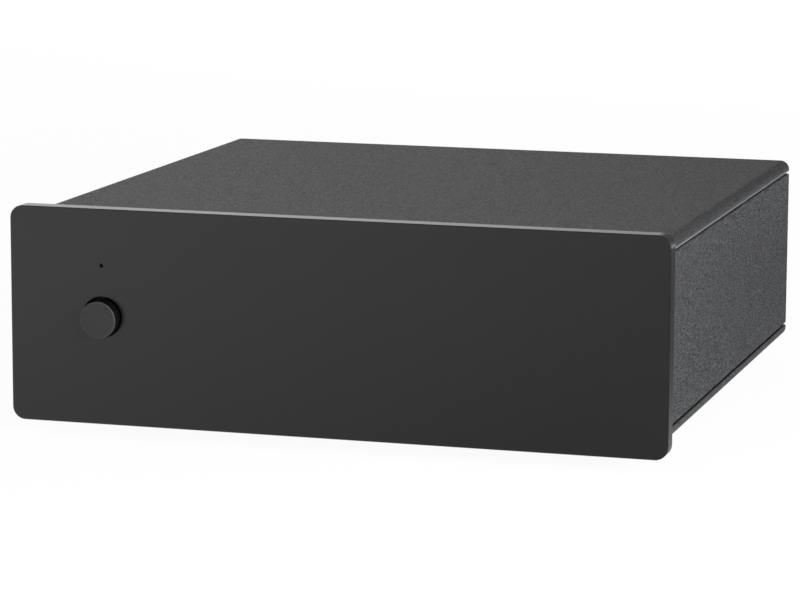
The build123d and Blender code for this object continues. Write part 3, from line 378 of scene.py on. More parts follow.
def ribbon(name, colour, stripe):
    """Flat cable: ridged conductors side by side, the first one striped."""
    f = Finish(name, Metallic=0.0)
    x, _, _ = f.split()
    wave = f.math("SINE", f.math("MULTIPLY", x, 2.0 * math.pi / RIBBON_PITCH_MM * PER_MM))
    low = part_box("ribbon_cable")[0].x
    edge = f.ramp(x, low + RIBBON_STRIPE[0], low + RIBBON_STRIPE[1], 1.0, 0.0)
    f.set(
        f.shader,
        Base_Color=f.blend(edge, colour, stripe),
        Roughness=f.ramp(f.noise(2.0), 0.3, 0.7, 0.4, 0.55),
        Normal=f.bump(wave, 0.2, 0.6),
    )
    return f.material


def capacitor_sleeve(name, colour, top_colour, band_colour):
    """Shrunk sleeve with a plain light band down one side; bare metal at the top."""
    f = Finish(name, Metallic=0.0)
    x, _, z = f.split()
    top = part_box("electrolytic_capacitors")[1].z
    crown = f.ramp(z, top - SLEEVE_CROWN[0], top - SLEEVE_CROWN[1])
    lanes = f.math("SINE", f.math("MULTIPLY", x, 2.0 * math.pi / SLEEVE_BAND_PITCH_MM * PER_MM))
    band = f.math("MULTIPLY", f.ramp(lanes, 0.93, 0.97), f.math("SUBTRACT", 1.0, crown))
    body = f.blend(band, colour, band_colour)
    wrinkle = f.noise(1.0, 3.0, (1.0, 1.0, 0.3))
    f.set(
        f.shader,
        Base_Color=f.blend(crown, body, top_colour),
        Metallic=crown,
        Roughness=f.ramp(wrinkle, 0.3, 0.7, 0.25, 0.38),
        Normal=f.bump(wrinkle, 0.01),
    )
    return f.material


def printed_ink(name, colour):
    """Screen-printed ink, slightly uneven where the mesh laid it down."""
    f = Finish(name, Metallic=0.0)
    weave = f.noise(5.0, 1.0)
    f.set(
        f.shader,
        Base_Color=f.shade(colour, weave, 0.05),
        Roughness=f.ramp(weave, 0.3, 0.7, 0.5, 0.62),
        Normal=f.bump(weave, 0.003),
    )
    return f.material


def dress(material, *names):
    """Puts one finish on CAD nodes, in place of the one that each came with."""
    for name in names:
        if name not in NODES:
            raise RuntimeError(f"the packed model has no node named {name}")
        slots = NODES[name].data.materials
        slots.clear()
        slots.append(material)


# ---------------------------------------------------------------- shapes
def new_piece(name, points, faces, material, body, replaced=(), smooth=True):
    """Mesh object at the origin from whole arrays of points and faces, riding on body."""
    mesh = bpy.data.meshes.new(name)
    mesh.from_pydata(points, [], faces)
    mesh.update()
    mesh.polygons.foreach_set("use_smooth", np.full(len(mesh.polygons), smooth))
    mesh.materials.append(material)
    piece = bpy.data.objects.new(name, mesh)
    bpy.context.scene.collection.objects.link(piece)
    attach(piece, body)
    if replaced:
        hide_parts(*replaced)
    return piece


def ring_faces(rings, around):
    """Quads joining each ring of points to the next, closed round the ring."""
    step = np.arange(around)
    following = np.roll(step, -1)
    start = np.arange(rings - 1)[:, None] * around
    quads = np.stack(
        [start + step, start + following, start + around + following, start + around + step],
        axis=-1,
    )
    return quads.reshape(-1, 4)


def coil(centre, radius, wire, start, end, turns, steps=48, around=12):
    """Round wire wound about an axis along Y, with its end turns lying nearly flat.

    At share t of the way the wire's middle is at angle 2 pi turns t, at radius from the axis, and
    at start + (end - start) t t (3 - 2t) along it. The point at angle u round the wire is
    wire cos u further out and wire sin u nearer the start. A point at each end closes it.
    """
    share = np.linspace(0.0, 1.0, int(turns * steps) + 1)[:, None]
    angle = 2.0 * math.pi * turns * share
    along = start + (end - start) * share**2 * (3.0 - 2.0 * share)
    section = np.linspace(0.0, 2.0 * math.pi, around, endpoint=False)
    out = radius + wire * np.cos(section)
    x = centre[0] + out * np.sin(angle)
    z = centre[1] + out * np.cos(angle)
    y = along - wire * np.sin(section)
    rings = np.stack([x, y, z], axis=-1)
    points = np.vstack([rings.reshape(-1, 3), rings[0].mean(0), rings[-1].mean(0)])
    quads = ring_faces(len(rings), around)
    step = np.arange(around)
    following = np.roll(step, -1)
    last = (len(rings) - 1) * around
    first_cap = np.stack([np.full(around, len(points) - 2), following, step], axis=-1)
    last_cap = np.stack(
        [np.full(around, len(points) - 1), last + step, last + following], axis=-1
    )
    return points, quads.tolist() + first_cap.tolist() + last_cap.tolist()


def printed(name, points, faces, material, body="root"):
    """A printed mark: flat shaded, and with no CAD piece of its own."""
    return new_piece(name, points, faces, material, body, smooth=False)


def slabs(corners, front, back):
    """Closed slabs in planes of constant Y.

    corners is n by 4 by 2, the (x, z) of n four-sided outlines taken clockwise as seen from +Y
    towards -Y; every outline is given a face at y = front, one at y = back, and four walls.
    """
    count = len(corners)
    near = np.concatenate([corners, np.full((count, 4, 1), front)], axis=2)
    far = np.concatenate([corners, np.full((count, 4, 1), back)], axis=2)
    points = np.concatenate([near, far], axis=1)[:, :, [0, 2, 1]].reshape(-1, 3)
    faces = np.array(
        [[3, 2, 1, 0], [4, 5, 6, 7], [0, 1, 5, 4], [1, 2, 6, 5], [2, 3, 7, 6], [3, 0, 4, 7]]
    )
    return points, (faces[None] + 8 * np.arange(count)[:, None, None]).reshape(-1, 4).tolist()


# ---------------------------------------------------------------- settings
def length(name, description, default):
    """Setting in metres."""
    return bpy.props.FloatProperty(
        name=name, description=description, default=default, unit="LENGTH", subtype="DISTANCE"
    )


def factor(name, description, default):
    """Setting that is a share or a strength, from 0 up."""
    return bpy.props.FloatProperty(
        name=name, description=description, default=default, min=0.0, subtype="FACTOR"
    )


def number(name, description, default):
    """Setting that is a plain number, in the unit that its description gives."""
    return bpy.props.FloatProperty(name=name, description=description, default=default)


def power(name, description, default):
    """Setting in watts."""
    return bpy.props.FloatProperty(
        name=name, description=description, default=default, min=0.0, unit="POWER"
    )


def rotation(name, description, degrees):
    """Setting kept in radians, with its default given in degrees."""
    return bpy.props.FloatProperty(
        name=name,
        description=description,
        default=math.radians(degrees),
        unit="ROTATION",
        subtype="ANGLE",
    )


def tint(name, description, default):
    """Setting for a colour's red, green and blue."""
    return bpy.props.FloatVectorProperty(
        name=name,
        description=description,
        default=default,
        subtype="COLOR",
        size=3,
        min=0.0,
        max=1.0,
    )


class CasingSettings(bpy.types.PropertyGroup):
    anodised_colour: tint("Anodised Colour", "Dye of the front panel", (0.003, 0.003, 0.0033))
    # The button's face is painted lighter than its side, which keeps the dark dye as painted shade;
    # its edge carries a painted highlight.
    button_colour: tint("Lit Face Colour", "Button's face, painted lighter than its shaded side", (0.0165, 0.0165, 0.017))
    button_sheen: factor("Button Sheen", "Specular level of the button", 0.25)
    edge_colour: tint("Edge Highlight Colour", "Painted highlight on the button's edge", (0.03, 0.03, 0.031))
    edge_roughness: factor("Edge Roughness", "Dullness of the button's edge", 0.6)
    button_edge: length("Button Edge", "Width of the button's painted highlight", 0.00035)
    anodised_roughness: factor("Anodised Roughness", "Dullness of the anodising", 0.25)
    anodised_variation: factor("Anodised Variation", "How much the dye changes along a line", 0.3)
    anodised_line_depth: number("Line Depth", "Depth of the drawn lines in millimetres", 0.0012)
    coat_colour: tint("Coat Colour", "Colour of the powder coat", (0.032, 0.033, 0.0355))
    # Painted shade: the upper cover gets a darker copy of the same coat, to hold down its lit top.
    top_colour: tint("Top Colour", "Darker copy of the coat for the upper cover", (0.025, 0.0255, 0.027))
    # Painted highlight: a lighter colour along the lower edges of the upper cover's rims, where light
    # catches them.
    thin_coat_colour: tint("Rim Highlight Colour", "Painted highlight on the upper rims' edges", (0.13, 0.132, 0.14))
    thin_coat_width: length("Rim Highlight Width", "Width of the painted highlight on the upper rims", 0.0009)
    # Painted shade: near black on the top of the lower cover's rims, where the seam lies in shade.
    bare_seam_colour: tint("Seam Shade Colour", "Painted shade inside the lower seams", (0.003, 0.003, 0.003))
    bare_seam_width: length("Seam Shade Width", "How far the seam's colour comes out", 0.0002)
    coat_sheen: factor("Coat Sheen", "Specular level of the powder coat", 0.21)
    coat_roughness: factor("Coat Roughness", "Dullness of the powder coat", 0.53)
    coat_variation: factor("Coat Variation", "How much the covers' grains differ in tone", 0.36)
    side_variation: factor("Side Variation", "How much the sides' grains differ in tone", 0.58)
    coat_grains_per_mm: number("Grains per Millimetre", "How fine the powder coat is", 3.2)
    coat_grain_depth: number("Grain Depth", "Relief of the covers' grain in millimetres", 0.2)
    side_grain_depth: number("Side Grain Depth", "Relief of the sides' grain in millimetres", 0.4)
    steel_colour: tint("Steel Colour", "Black zinc of the inner front plate", (0.02, 0.02, 0.022))


class ControlSettings(bpy.types.PropertyGroup):
    ink_colour: tint("Ink Colour", "Dial marks and knob pointer", (0.74, 0.74, 0.72))
    tick_count: bpy.props.IntProperty(
        name="Ticks", description="Marks round the load knob", default=11, min=2
    )
    tick_length: length("Tick Length", "Length of each dial mark", 0.0014)
    tick_width: length("Tick Width", "Width of each dial mark", 0.00032)
    tick_gap: length("Tick Gap", "From the knob's side to the marks", 0.0013)
    number_height: length("Number Height", "Height of the dial's figures", 0.0023)
    number_gap: length("Number Gap", "From the marks to the middle of a figure", 0.0019)
    ink_thickness: length("Ink Thickness", "How far printed ink stands up", 0.00004)
    plastic_colour: tint("Knob Colour", "Moulded plastic of knob and inlet", (0.018, 0.018, 0.019))
    nylon_colour: tint("Nylon Colour", "Board spacers and sliders", (0.62, 0.61, 0.57))
    light_guide_colour: tint("Light Guide Colour", "Clear acrylic", (0.93, 0.95, 0.96))
    lamp_colour: tint("Lamp Colour", "Tinted body of the status light", (0.12, 0.25, 0.85))
    shaft_colour: tint("Shaft Colour", "Shaft and nut behind the load knob", (0.6, 0.6, 0.6))
    spring_colour: tint("Spring Colour", "Steel of the return spring", (0.5, 0.5, 0.5))
    spring_wire: length("Spring Wire", "Thickness of the return spring's wire", 0.0006)
    spring_turns: number("Spring Turns", "Turns of the return spring", 4.0)


class FittingSettings(bpy.types.PropertyGroup):
    gold_colour: tint("Gold Colour", "Plating of the phono sockets", (0.83, 0.58, 0.22))
    nickel_colour: tint("Nickel Colour", "Ground terminal, nuts and pins", (0.62, 0.59, 0.54))
    white_ring_colour: tint("White Ring", "Left channel's ring", (0.72, 0.72, 0.69))
    red_ring_colour: tint("Red Ring", "Right channel's ring", (0.42, 0.018, 0.016))
    core_colour: tint("Socket Core", "Insulator inside a socket", (0.55, 0.54, 0.50))
    screw_colour: tint("Screw Colour", "Blackened screws", (0.045, 0.045, 0.048))
    rubber_colour: tint("Rubber Colour", "Feet", (0.016, 0.016, 0.016))


class BoardSettings(bpy.types.PropertyGroup):
    mask_colour: tint("Solder Mask", "Circuit boards", (0.006, 0.075, 0.025))
    ribbon_colour: tint("Ribbon Colour", "Flat cable", (0.34, 0.35, 0.36))
    stripe_colour: tint("Stripe Colour", "First conductor of the flat cable", (0.45, 0.02, 0.02))
    switch_colour: tint("Switch Colour", "Slide-switch blocks", (0.015, 0.065, 0.30))
    sleeve_colour: tint("Sleeve Colour", "Electrolytic capacitors", (0.012, 0.014, 0.03))
    band_colour: tint("Band Colour", "Light band down a capacitor", (0.5, 0.5, 0.52))
    film_colour: tint("Film Colour", "Film capacitors", (0.33, 0.02, 0.015))
    component_colour: tint("Component Colour", "Chips, relays, transistors", (0.014, 0.014, 0.015))
    aluminium_colour: tint("Aluminium Colour", "Heat sinks", (0.72, 0.73, 0.74))


class StageSettings(bpy.types.PropertyGroup):
    floor_size: length("Floor Size", "Side of the square floor", 6.0)
    floor_colour: tint("Floor Colour", "Pale floor", (0.82, 0.82, 0.82))
    floor_lift: factor("Floor Lift", "Share of plain white in the floor as seen", 0.95)
    # Painted light and shadow in mirrors: the floor brighter to the left as if lit there, dark to the
    # right as the object's shadow.
    reflected_left: factor("Reflected Left", "Painted light on the floor to the left, in reflections", 1.28)
    reflected_middle: factor("Reflected Middle", "Floor tone in front in reflections", 0.53)
    reflected_right: factor("Reflected Right", "Painted shadow on the floor to the right, in reflections", 0.1)
    reflected_far: factor("Reflected Far", "Tone of the far floor in reflections", 1.0)
    reflected_back: factor("Reflected Back", "Backdrop's tone in reflections", 1.1)
    reflected_room: factor("Reflected Room", "Tone of the rest of the room in reflections", 0.2)
    world_strength: factor("World Strength", "Soft light from all round", 0.35)
    key_power: power("Key Power", "Large soft lamp, up and to the left", 14.0)
    fill_power: power("Fill Power", "Soft lamp low and to the right", 13.0)
    rear_power: power("Rear Power", "Soft lamp low behind", 16.0)
    camera_place: bpy.props.FloatVectorProperty(
        name="Camera Place",
        description="Where the camera stands",
        default=(0.315564, -1.091578, 0.224284),
        size=3,
        unit="LENGTH",
        subtype="TRANSLATION",
    )
    camera_azimuth: rotation("Camera Azimuth", "How far the view turns to the left", 16.59)
    camera_elevation: rotation("Camera Elevation", "How far the view looks down", 9.652)
    camera_roll: rotation("Camera Roll", "How far the camera leans", 0.214)
    camera_lens: number("Camera Lens", "Focal length in millimetres", 158.86)


class PreampSettings(bpy.types.PropertyGroup):
    casing: bpy.props.PointerProperty(type=CasingSettings, name="Casing", description="Metalwork")
    controls: bpy.props.PointerProperty(
        type=ControlSettings, name="Controls", description="Button, knob and dial"
    )
    fittings: bpy.props.PointerProperty(
        type=FittingSettings, name="Fittings", description="Sockets, screws and feet"
    )
    boards: bpy.props.PointerProperty(
        type=BoardSettings, name="Boards", description="Circuit boards and what they carry"
    )
    stage: bpy.props.PointerProperty(
        type=StageSettings, name="Stage", description="Floor, lamps and camera"
    )


# ---------------------------------------------------------------- operators
class CasingOperator(bpy.types.Operator):
    """Finishes the front panel, the covers, the side panels and both end plates"""

    bl_idname = "preamp.casing"
    bl_label = "Casing"

    def execute(self, context):
        s = context.scene.preamp.casing
        dress(anodised("black_anodised", s), "front_panel")
        grain = (s.coat_variation, s.coat_grain_depth)
        dress(powder_coat("black_powder_coat", s, s.coat_colour, *grain), "rear_panel")
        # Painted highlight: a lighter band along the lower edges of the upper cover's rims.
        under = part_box("top_cover")[0].z
        highlight_band = (under + s.thin_coat_width * share for share in RIM_HIGHLIGHT_FADE)
        edge = (*highlight_band, s.thin_coat_colour)
        # The upper cover's darker coat is painted shade on its lit top.
        dress(powder_coat("top_coat_painted_highlight_and_shade", s, s.top_colour, *grain, edge=edge), "top_cover")
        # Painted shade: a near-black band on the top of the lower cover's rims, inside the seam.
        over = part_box("bottom_cover")[1].z
        edge = (over, over - s.bare_seam_width, s.bare_seam_colour)
        base = powder_coat("bottom_coat_painted_seam_shade", s, s.coat_colour, *grain, edge=edge)
        dress(base, "bottom_cover")
        grain = (s.side_variation, s.side_grain_depth, (1.0, 0.7, 1.0))
        coarse = powder_coat("coarse_powder_coat", s, s.coat_colour, *grain)
        dress(coarse, "left_side_panel", "right_side_panel")
        zinc = metal(
            "black_zinc", s.steel_colour, roughness=0.45, spread=0.3, lines=(1.0, 1.0, 0.15)
        )
        dress(zinc, "front_subpanel")
        return {"FINISHED"}


class ScrewsAndFeetOperator(bpy.types.Operator):
    """Finishes the screws and the rubber feet"""

    bl_idname = "preamp.screws_and_feet"
    bl_label = "Screws and Feet"

    def execute(self, context):
        s = context.scene.preamp.fittings
        black = metal("black_screw", s.screw_colour, roughness=0.38, spread=0.2)
        dress(black, "end_panel_screws", "bottom_cover_screws", "foot_screws")
        steel = metal("screw_steel", s.nickel_colour, roughness=0.3)
        dress(steel, "front_panel_screws", "top_cover_screws", "board_screws")
        dress(rubber("foot_rubber", s.rubber_colour), "rubber_feet")
        return {"FINISHED"}


class PowerButtonOperator(bpy.types.Operator):
    """Finishes the button cap, its guide, stem, spring and switch, and the board's spacers"""

    bl_idname = "preamp.power_button"
    bl_label = "Power Button"

    def execute(self, context):
        s = context.scene.preamp
        casing = s.casing
        node = "power_button_cap"
        edge = casing.button_edge
        # Painted light on the cap: the face lighter than the side, whose dark dye is painted shade,
        # and a painted highlight on the rounded edge.
        face = (
            lambda f: turned_face(f, node, edge),
            casing.button_colour,
            casing.anodised_roughness,
        )
        highlight_rim = (lambda f: turned_edge(f, node, edge), casing.edge_colour, casing.edge_roughness)
        cap = anodised("button_anodised_painted_light", casing, casing.button_sheen, painted_light_layers=(face, highlight_rim))
        dress(cap, node)
        acetal = moulding("black_acetal", s.controls.plastic_colour, roughness=0.38)
        dress(acetal, "button_guide", "power_button_stem")
        nylon = moulding("white_nylon", s.controls.nylon_colour, roughness=0.42)
        dress(nylon, "front_board_spacers")
        housing = moulding("black_moulding", s.controls.plastic_colour, roughness=0.4)
        dress(housing, "switch_housing")
        self.spring(s.controls)
        return {"FINISHED"}

    def spring(self, s):
        """Coil of round wire in place of the CAD spring, riding on the root body."""
        low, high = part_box("button_spring")
        wire = s.spring_wire / 2
        middle = ((low.x + high.x) / 2, (low.z + high.z) / 2)
        points, faces = coil(
            middle, (high.x - low.x) / 2 - wire, wire, low.y + wire, high.y - wire, s.spring_turns
        )
        steel = metal("spring_steel", s.spring_colour, roughness=0.28)
        piece = new_piece(
            "return_spring", points, faces, steel, "root", ("button_spring",)
        )
        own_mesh(piece)


class StatusLightOperator(bpy.types.Operator):
    """Finishes the light guide and the lamp behind the front panel"""

    bl_idname = "preamp.status_light"
    bl_label = "Status Light"

    def execute(self, context):
        s = context.scene.preamp.controls
        dress(clear_moulding("clear_acrylic", s.light_guide_colour), "light_pipe")
        dress(lamp_lens("blue_lamp", s.lamp_colour), "status_light")
        return {"FINISHED"}


class SocketsOperator(bpy.types.Operator):
    """Finishes the four phono sockets and their coloured rings"""

    bl_idname = "preamp.sockets"
    bl_label = "Phono Sockets"

    def execute(self, context):
        s = context.scene.preamp.fittings
        gold = metal("gold_plate", s.gold_colour, roughness=0.2, spread=0.05)
        dress(gold, "socket_sleeves", "socket_contacts", "socket_nuts")
        for name, ring, node in (
            ("white_insulator", s.white_ring_colour, "white_socket_washers"),
            ("red_insulator", s.red_ring_colour, "red_socket_washers"),
        ):
            dress(moulding(name, ring, roughness=0.35), node)
        dress(moulding("socket_core", s.core_colour, roughness=0.4), "socket_cores")
        return {"FINISHED"}


class GroundTerminalOperator(bpy.types.Operator):
    """Finishes the ground post, its nuts and its washer, and the inlet's pin"""

    bl_idname = "preamp.ground_terminal"
    bl_label = "Ground Terminal"

    def execute(self, context):
        s = context.scene.preamp.fittings
        nickel = metal("brass_nickel", s.nickel_colour, roughness=0.22)
        dress(nickel, "ground_post", "ground_post_nut", "ground_washer", "ground_thumb_nut")
        dress(nickel, "power_inlet_pin")
        return {"FINISHED"}


class LoadDialOperator(bpy.types.Operator):
    """Prints the scale round the load knob, fills the knob's pointer and finishes its parts"""

    bl_idname = "preamp.load_dial"
    bl_label = "Load Dial"

    def execute(self, context):
        s = context.scene.preamp.controls
        ink = printed_ink("dial_ink", s.ink_colour)
        low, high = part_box("load_knob")
        middle = np.array([(low.x + high.x) / 2, (low.z + high.z) / 2])
        knob_radius = (high.x - low.x) / 2
        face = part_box("rear_panel")[1].y
        turn = next(j for j in frame["joints"] if j["name"] == "load_knob_turn")
        ends = np.radians(turn["range_deg"])
        angles = np.linspace(ends[0], ends[1], s.tick_count)
        self.ticks(s, ink, middle, knob_radius + s.tick_gap, face, angles)
        self.figures(s, ink, middle, knob_radius + s.tick_gap + s.tick_length, face, angles)
        self.pointer(s, ink, middle, knob_radius, high.y)
        knob = moulding("black_moulding", s.plastic_colour, roughness=0.42)
        dress(knob, "load_knob", "load_pot_body", "power_inlet")
        steel = metal("pot_steel", s.shaft_colour, roughness=0.3)
        dress(steel, "load_pot_shaft", "load_pot_nut")
        return {"FINISHED"}

    def ticks(self, s, ink, middle, start, face, angles):
        """One radial bar for each angle, measured from straight up towards -X."""
        outward = np.stack([-np.sin(angles), np.cos(angles)], axis=1)
        sideways = np.stack([np.cos(angles), np.sin(angles)], axis=1) * s.tick_width / 2
        inner = middle + outward * start
        outer = middle + outward * (start + s.tick_length)
        corners = np.stack(
            [inner - sideways, inner + sideways, outer + sideways, outer - sideways], axis=1
        )
        printed("load_scale", *slabs(corners, face, face + s.ink_thickness), ink)

    def figures(self, s, ink, middle, start, face, angles):
        """Plain numbers 0 to 10 at every second mark, each upright and read from behind."""
        points, faces = [], []
        total = 0
        for index in range(0, len(angles), 2):
            words = bpy.data.curves.new("figure", "FONT")
            words.body = str(index)
            words.size = s.number_height * FONT_SIZE_TO_HEIGHT
            words.extrude = s.ink_thickness / 2
            words.align_x = "CENTER"
            words.resolution_u = 6
            holder = bpy.data.objects.new("figure", words)
            mesh = bpy.data.meshes.new_from_object(holder)
            flat = np.empty(len(mesh.vertices) * 3)
            mesh.vertices.foreach_get("co", flat)
            flat = flat.reshape(-1, 3)
            flat[:, 1] -= (flat[:, 1].max() + flat[:, 1].min()) / 2
            radius = start + s.number_gap
            x = middle[0] - math.sin(angles[index]) * radius - flat[:, 0]
            z = middle[1] + math.cos(angles[index]) * radius + flat[:, 1]
            points.append(np.stack([x, face + s.ink_thickness / 2 + flat[:, 2], z], axis=1))
            faces += [[v + total for v in p.vertices] for p in mesh.polygons]
            total += len(flat)
            bpy.data.objects.remove(holder)
            bpy.data.curves.remove(words)
            bpy.data.meshes.remove(mesh)
        printed("load_figures", np.vstack(points), faces, ink)

    def pointer(self, s, ink, middle, radius, face):
        """Paint that fills the groove across the knob's face, just below the surface."""
        half = POINTER_HALF_WIDTH
        start = POINTER_START
        end = radius - POINTER_END_GAP
        x = middle[0] + np.array([-half, half, half, -half])
        z = middle[1] + np.array([start, start, end, end])
        corners = np.stack([x, z], axis=1)[None]
        bottom, top = (face - depth for depth in POINTER_DEPTHS)
        printed("load_pointer", *slabs(corners, bottom, top), ink, "load_knob")


class BoardsOperator(bpy.types.Operator):
    """Finishes the circuit boards and the components they carry"""

    bl_idname = "preamp.boards"
    bl_label = "Boards"

    def execute(self, context):
        s = context.scene.preamp.boards
        green = circuit_board("board_green", s.mask_colour)
        dress(green, "main_board", "front_board", "socket_board")
        dress(ribbon("ribbon_grey", s.ribbon_colour, s.stripe_colour), "ribbon_cable")
        black = moulding("component_black", s.component_colour, roughness=0.45)
        dress(black, "ribbon_connectors", "transistors", "regulators", "integrated_circuits", "relays")
        sleeve = capacitor_sleeve(
            "capacitor_sleeve", s.sleeve_colour, s.aluminium_colour, s.band_colour
        )
        dress(sleeve, "electrolytic_capacitors")
        dress(moulding("film_red", s.film_colour, roughness=0.3), "film_capacitors")
        sink = metal("bare_aluminium", s.aluminium_colour, roughness=0.36, lines=(1.0, 1.0, 0.1))
        dress(sink, "heat_sinks", "main_board_standoffs")
        return {"FINISHED"}


class SlideSwitchesOperator(bpy.types.Operator):
    """Finishes the slide-switch blocks and their sliders"""

    bl_idname = "preamp.slide_switches"
    bl_label = "Slide Switches"

    def execute(self, context):
        s = context.scene.preamp
        blue = moulding("blue_switch", s.boards.switch_colour, roughness=0.4)
        dress(blue, "slide_switch_blocks")
        white = moulding("slider_white", s.controls.nylon_colour, roughness=0.4)
        dress(white, *[n for n in NODES if "_slider_" in n])
        return {"FINISHED"}


class StageOperator(bpy.types.Operator):
    """Lays the floor, lights the object and sets the camera"""

    bl_idname = "preamp.stage"
    bl_label = "Stage"

    def execute(self, context):
        s = context.scene.preamp.stage
        self.floor(s)
        self.world(s)
        self.lamp("key_lamp", *KEY_LAMP, s.key_power)
        self.lamp("fill_lamp", *FILL_LAMP, s.fill_power)
        self.lamp("rear_lamp", *REAR_LAMP, s.rear_power, mirrored=False)
        self.camera(s)
        context.scene.view_settings.view_transform = "Standard"
        return {"FINISHED"}

    def seen(self, tree):
        """1 for rays from the camera, a mirror or glass and 0 for others; 1 for mirrors' alone."""
        path = tree.nodes.new("ShaderNodeLightPath")
        total = path.outputs["Is Camera Ray"]
        for name in ("Is Glossy Ray", "Is Transmission Ray"):
            total = self.join(tree, "MAXIMUM", total, path.outputs[name])
        return total, path.outputs["Is Glossy Ray"]

    def join(self, tree, operation, a, b):
        """The two values put together by one arithmetic operation."""
        node = tree.nodes.new("ShaderNodeMath")
        node.operation = operation
        tree.links.new(a, node.inputs[0])
        tree.links.new(b, node.inputs[1])
        return node.outputs["Value"]

    def run(self, tree, value, low, high, out_low, out_high, smooth=False):
        """value from low to high mapped to out_low to out_high, and held outside."""
        node = tree.nodes.new("ShaderNodeMapRange")
        node.interpolation_type = "SMOOTHSTEP" if smooth else "LINEAR"
        for name, limit in (
            ("From Min", low),
            ("From Max", high),
            ("To Min", out_low),
            ("To Max", out_high),
        ):
            node.inputs[name].default_value = limit
        tree.links.new(value, node.inputs["Value"])
        return node.outputs["Result"]

    def in_mirrors(self, tree, glossy, tone):
        """1, and for mirror rays the given tone."""
        pick = tree.nodes.new("ShaderNodeMix")
        pick.inputs["A"].default_value = 1.0
        tree.links.new(glossy, pick.inputs["Factor"])
        tree.links.new(tone, pick.inputs["B"])
        return pick.outputs["Result"]

    def floor(self, s):
        """A square at z = 0, pale, lifted to white as seen, and clear from underneath.

        Mirrors see its tone fall from left to right in front of the object and rise far behind: a
        painted pool of light to the left and a painted shadow of the object to the right.
        """
        half = s.floor_size / 2
        mesh = bpy.data.meshes.new("floor")
        corners = np.array([[-half, -half, 0], [half, -half, 0], [half, half, 0], [-half, half, 0]])
        mesh.from_pydata(corners, [], [(0, 1, 2, 3)])
        floor = bpy.data.objects.new("floor", mesh)
        bpy.context.scene.collection.objects.link(floor)
        material = bpy.data.materials.new("floor")
        material.use_nodes = True
        tree = material.node_tree
        tree.nodes.clear()
        output = tree.nodes.new("ShaderNodeOutputMaterial")
        matt = tree.nodes.new("ShaderNodeBsdfDiffuse")
        matt.inputs["Color"].default_value = (*s.floor_colour, 1.0)
        white = tree.nodes.new("ShaderNodeEmission")
        clear = tree.nodes.new("ShaderNodeBsdfTransparent")
        geometry = tree.nodes.new("ShaderNodeNewGeometry")
        place = tree.nodes.new("ShaderNodeSeparateXYZ")
        tree.links.new(geometry.outputs["Position"], place.inputs["Vector"])
        seen, glossy = self.seen(tree)
        x, y = place.outputs["X"], place.outputs["Y"]
        fall = s.reflected_right / s.reflected_middle
        # Painted pool of light to the left and painted shadow of the object to the right, for mirror
        # rays only.
        near = self.run(tree, x, *FLOOR_MIDDLE_X, s.reflected_left, s.reflected_middle)
        edge = self.run(tree, x, *FLOOR_SHADOW_X, 1.0, fall, smooth=True)
        far = self.run(tree, y, *FLOOR_FAR_Y, 0.0, s.reflected_far, smooth=True)
        floor_tone = self.join(tree, "MULTIPLY", near, edge)
        tone = self.in_mirrors(tree, glossy, self.join(tree, "MAXIMUM", floor_tone, far))
        tree.links.new(tone, white.inputs["Strength"])
        share = tree.nodes.new("ShaderNodeMath")
        share.operation = "MULTIPLY"
        tree.links.new(seen, share.inputs[0])
        share.inputs[1].default_value = s.floor_lift
        lifted = tree.nodes.new("ShaderNodeMixShader")
        tree.links.new(share.outputs["Value"], lifted.inputs["Fac"])
        tree.links.new(matt.outputs["BSDF"], lifted.inputs[1])
        tree.links.new(white.outputs["Emission"], lifted.inputs[2])
        under = tree.nodes.new("ShaderNodeMixShader")
        tree.links.new(geometry.outputs["Backfacing"], under.inputs["Fac"])
        tree.links.new(lifted.outputs["Shader"], under.inputs[1])
        tree.links.new(clear.outputs["BSDF"], under.inputs[2])
        tree.links.new(under.outputs["Shader"], output.inputs["Surface"])
        mesh.materials.append(material)

    def world(self, s):
        """White as seen, softer as light; mirrors see a white backdrop in a dimmer room."""
        world = bpy.data.worlds.new("studio")
        bpy.context.scene.world = world
        world.use_nodes = True
        tree = world.node_tree
        tree.nodes.clear()
        output = tree.nodes.new("ShaderNodeOutputWorld")
        sky = tree.nodes.new("ShaderNodeBackground")
        sky.inputs["Color"].default_value = (1.0, 1.0, 1.0, 1.0)
        towards = tree.nodes.new("ShaderNodeVectorMath")
        towards.operation = "DOT_PRODUCT"
        towards.inputs[1].default_value = BACKDROP_WAY
        coords = tree.nodes.new("ShaderNodeTexCoord")
        tree.links.new(coords.outputs["Generated"], towards.inputs[0])
        seen, glossy = self.seen(tree)
        along = towards.outputs["Value"]
        backdrop = self.run(
            tree, along, *BACKDROP_EDGE, s.reflected_room, s.reflected_back, smooth=True
        )
        tone = self.in_mirrors(tree, glossy, backdrop)
        pick = tree.nodes.new("ShaderNodeMix")
        pick.inputs["A"].default_value = s.world_strength
        tree.links.new(seen, pick.inputs["Factor"])
        tree.links.new(tone, pick.inputs["B"])
        tree.links.new(pick.outputs["Result"], sky.inputs["Strength"])
        tree.links.new(sky.outputs["Background"], output.inputs["Surface"])

    def lamp(self, name, place, target, size, watts, mirrored=True):
        """Area lamp of size (width, height) facing target, out of the camera's sight."""
        data = bpy.data.lights.new(name, "AREA")
        data.shape = "RECTANGLE"
        data.size, data.size_y = size
        data.energy = watts
        lamp = bpy.data.objects.new(name, data)
        bpy.context.scene.collection.objects.link(lamp)
        away = np.array(place) - np.array(target)
        away = away / np.linalg.norm(away)
        right = np.cross((0.0, 0.0, 1.0), away)
        right = right / np.linalg.norm(right)
        up = np.cross(away, right)
        turned_to = Matrix(np.stack([right, up, away], axis=1).tolist()).to_4x4()
        lamp.matrix_world = Matrix.Translation(place) @ turned_to
        lamp.visible_camera = False
        lamp.visible_glossy = mirrored

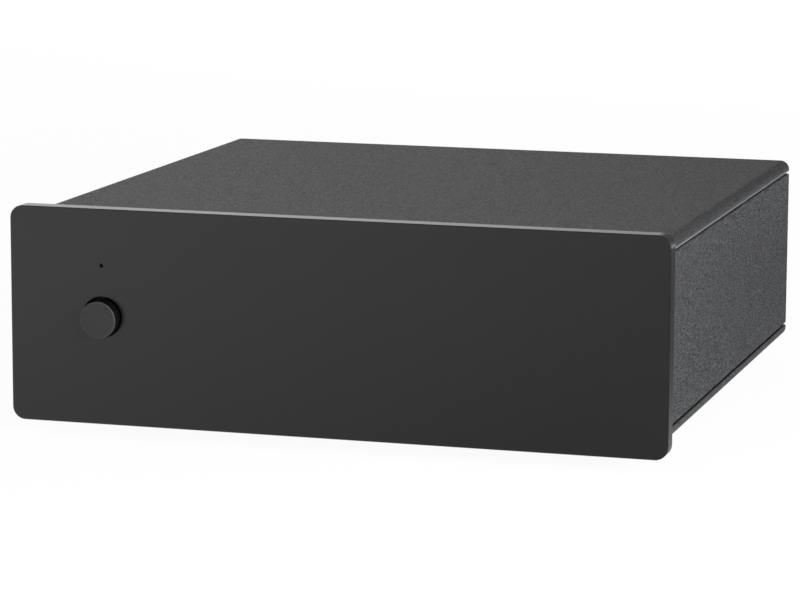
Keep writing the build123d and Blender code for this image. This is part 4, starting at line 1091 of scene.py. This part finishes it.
    def camera(self, s):
        """Camera from its place, azimuth, elevation and roll."""
        az, el, roll = s.camera_azimuth, s.camera_elevation, s.camera_roll
        ahead = np.array(
            [-math.sin(az) * math.cos(el), math.cos(az) * math.cos(el), -math.sin(el)]
        )
        right = np.array([math.cos(az), math.sin(az), 0.0])
        up = np.cross(right, ahead)
        leaned_right = right * math.cos(roll) + up * math.sin(roll)
        leaned_up = up * math.cos(roll) - right * math.sin(roll)
        data = bpy.data.cameras.new("camera")
        data.sensor_width = SENSOR_WIDTH_MM
        data.lens = s.camera_lens
        data.clip_start = CAMERA_NEAR
        data.clip_end = CAMERA_FAR
        camera = bpy.data.objects.new("camera", data)
        bpy.context.scene.collection.objects.link(camera)
        axes = Matrix(np.stack([leaned_right, leaned_up, -ahead], axis=1).tolist()).to_4x4()
        camera.matrix_world = Matrix.Translation(s.camera_place) @ axes
        bpy.context.scene.camera = camera


OPERATORS = (
    CasingOperator,
    ScrewsAndFeetOperator,
    PowerButtonOperator,
    StatusLightOperator,
    SocketsOperator,
    GroundTerminalOperator,
    LoadDialOperator,
    BoardsOperator,
    SlideSwitchesOperator,
    StageOperator,
)


class PreampPanel(bpy.types.Panel):
    """Lists the steps and the settings of the preamp"""

    bl_idname = "VIEW3D_PT_preamp"
    bl_label = "Phono Preamp"
    bl_space_type = "VIEW_3D"
    bl_region_type = "UI"
    bl_category = "Preamp"

    def draw(self, context):
        for operator in OPERATORS:
            self.layout.operator(operator.bl_idname)
        settings = context.scene.preamp
        for group in ("casing", "controls", "fittings", "boards", "stage"):
            box = self.layout.box()
            box.label(text=group.capitalize())
            for key in getattr(settings, group).bl_rna.properties.keys():
                if key not in ("rna_type", "name"):
                    box.prop(getattr(settings, group), key)


CLASSES = (
    CasingSettings,
    ControlSettings,
    FittingSettings,
    BoardSettings,
    StageSettings,
    PreampSettings,
    *OPERATORS,
    PreampPanel,
)


def register():
    for cls in CLASSES:
        bpy.utils.register_class(cls)
    bpy.types.Scene.preamp = bpy.props.PointerProperty(
        type=PreampSettings, name="Preamp", description="Phono preamp settings"
    )


def unregister():
    del bpy.types.Scene.preamp
    for cls in reversed(CLASSES):
        bpy.utils.unregister_class(cls)


def main():
    register()
    for operator in OPERATORS:
        group, name = operator.bl_idname.split(".")
        getattr(getattr(bpy.ops, group), name)()


if __name__ == "__main__":
    main()
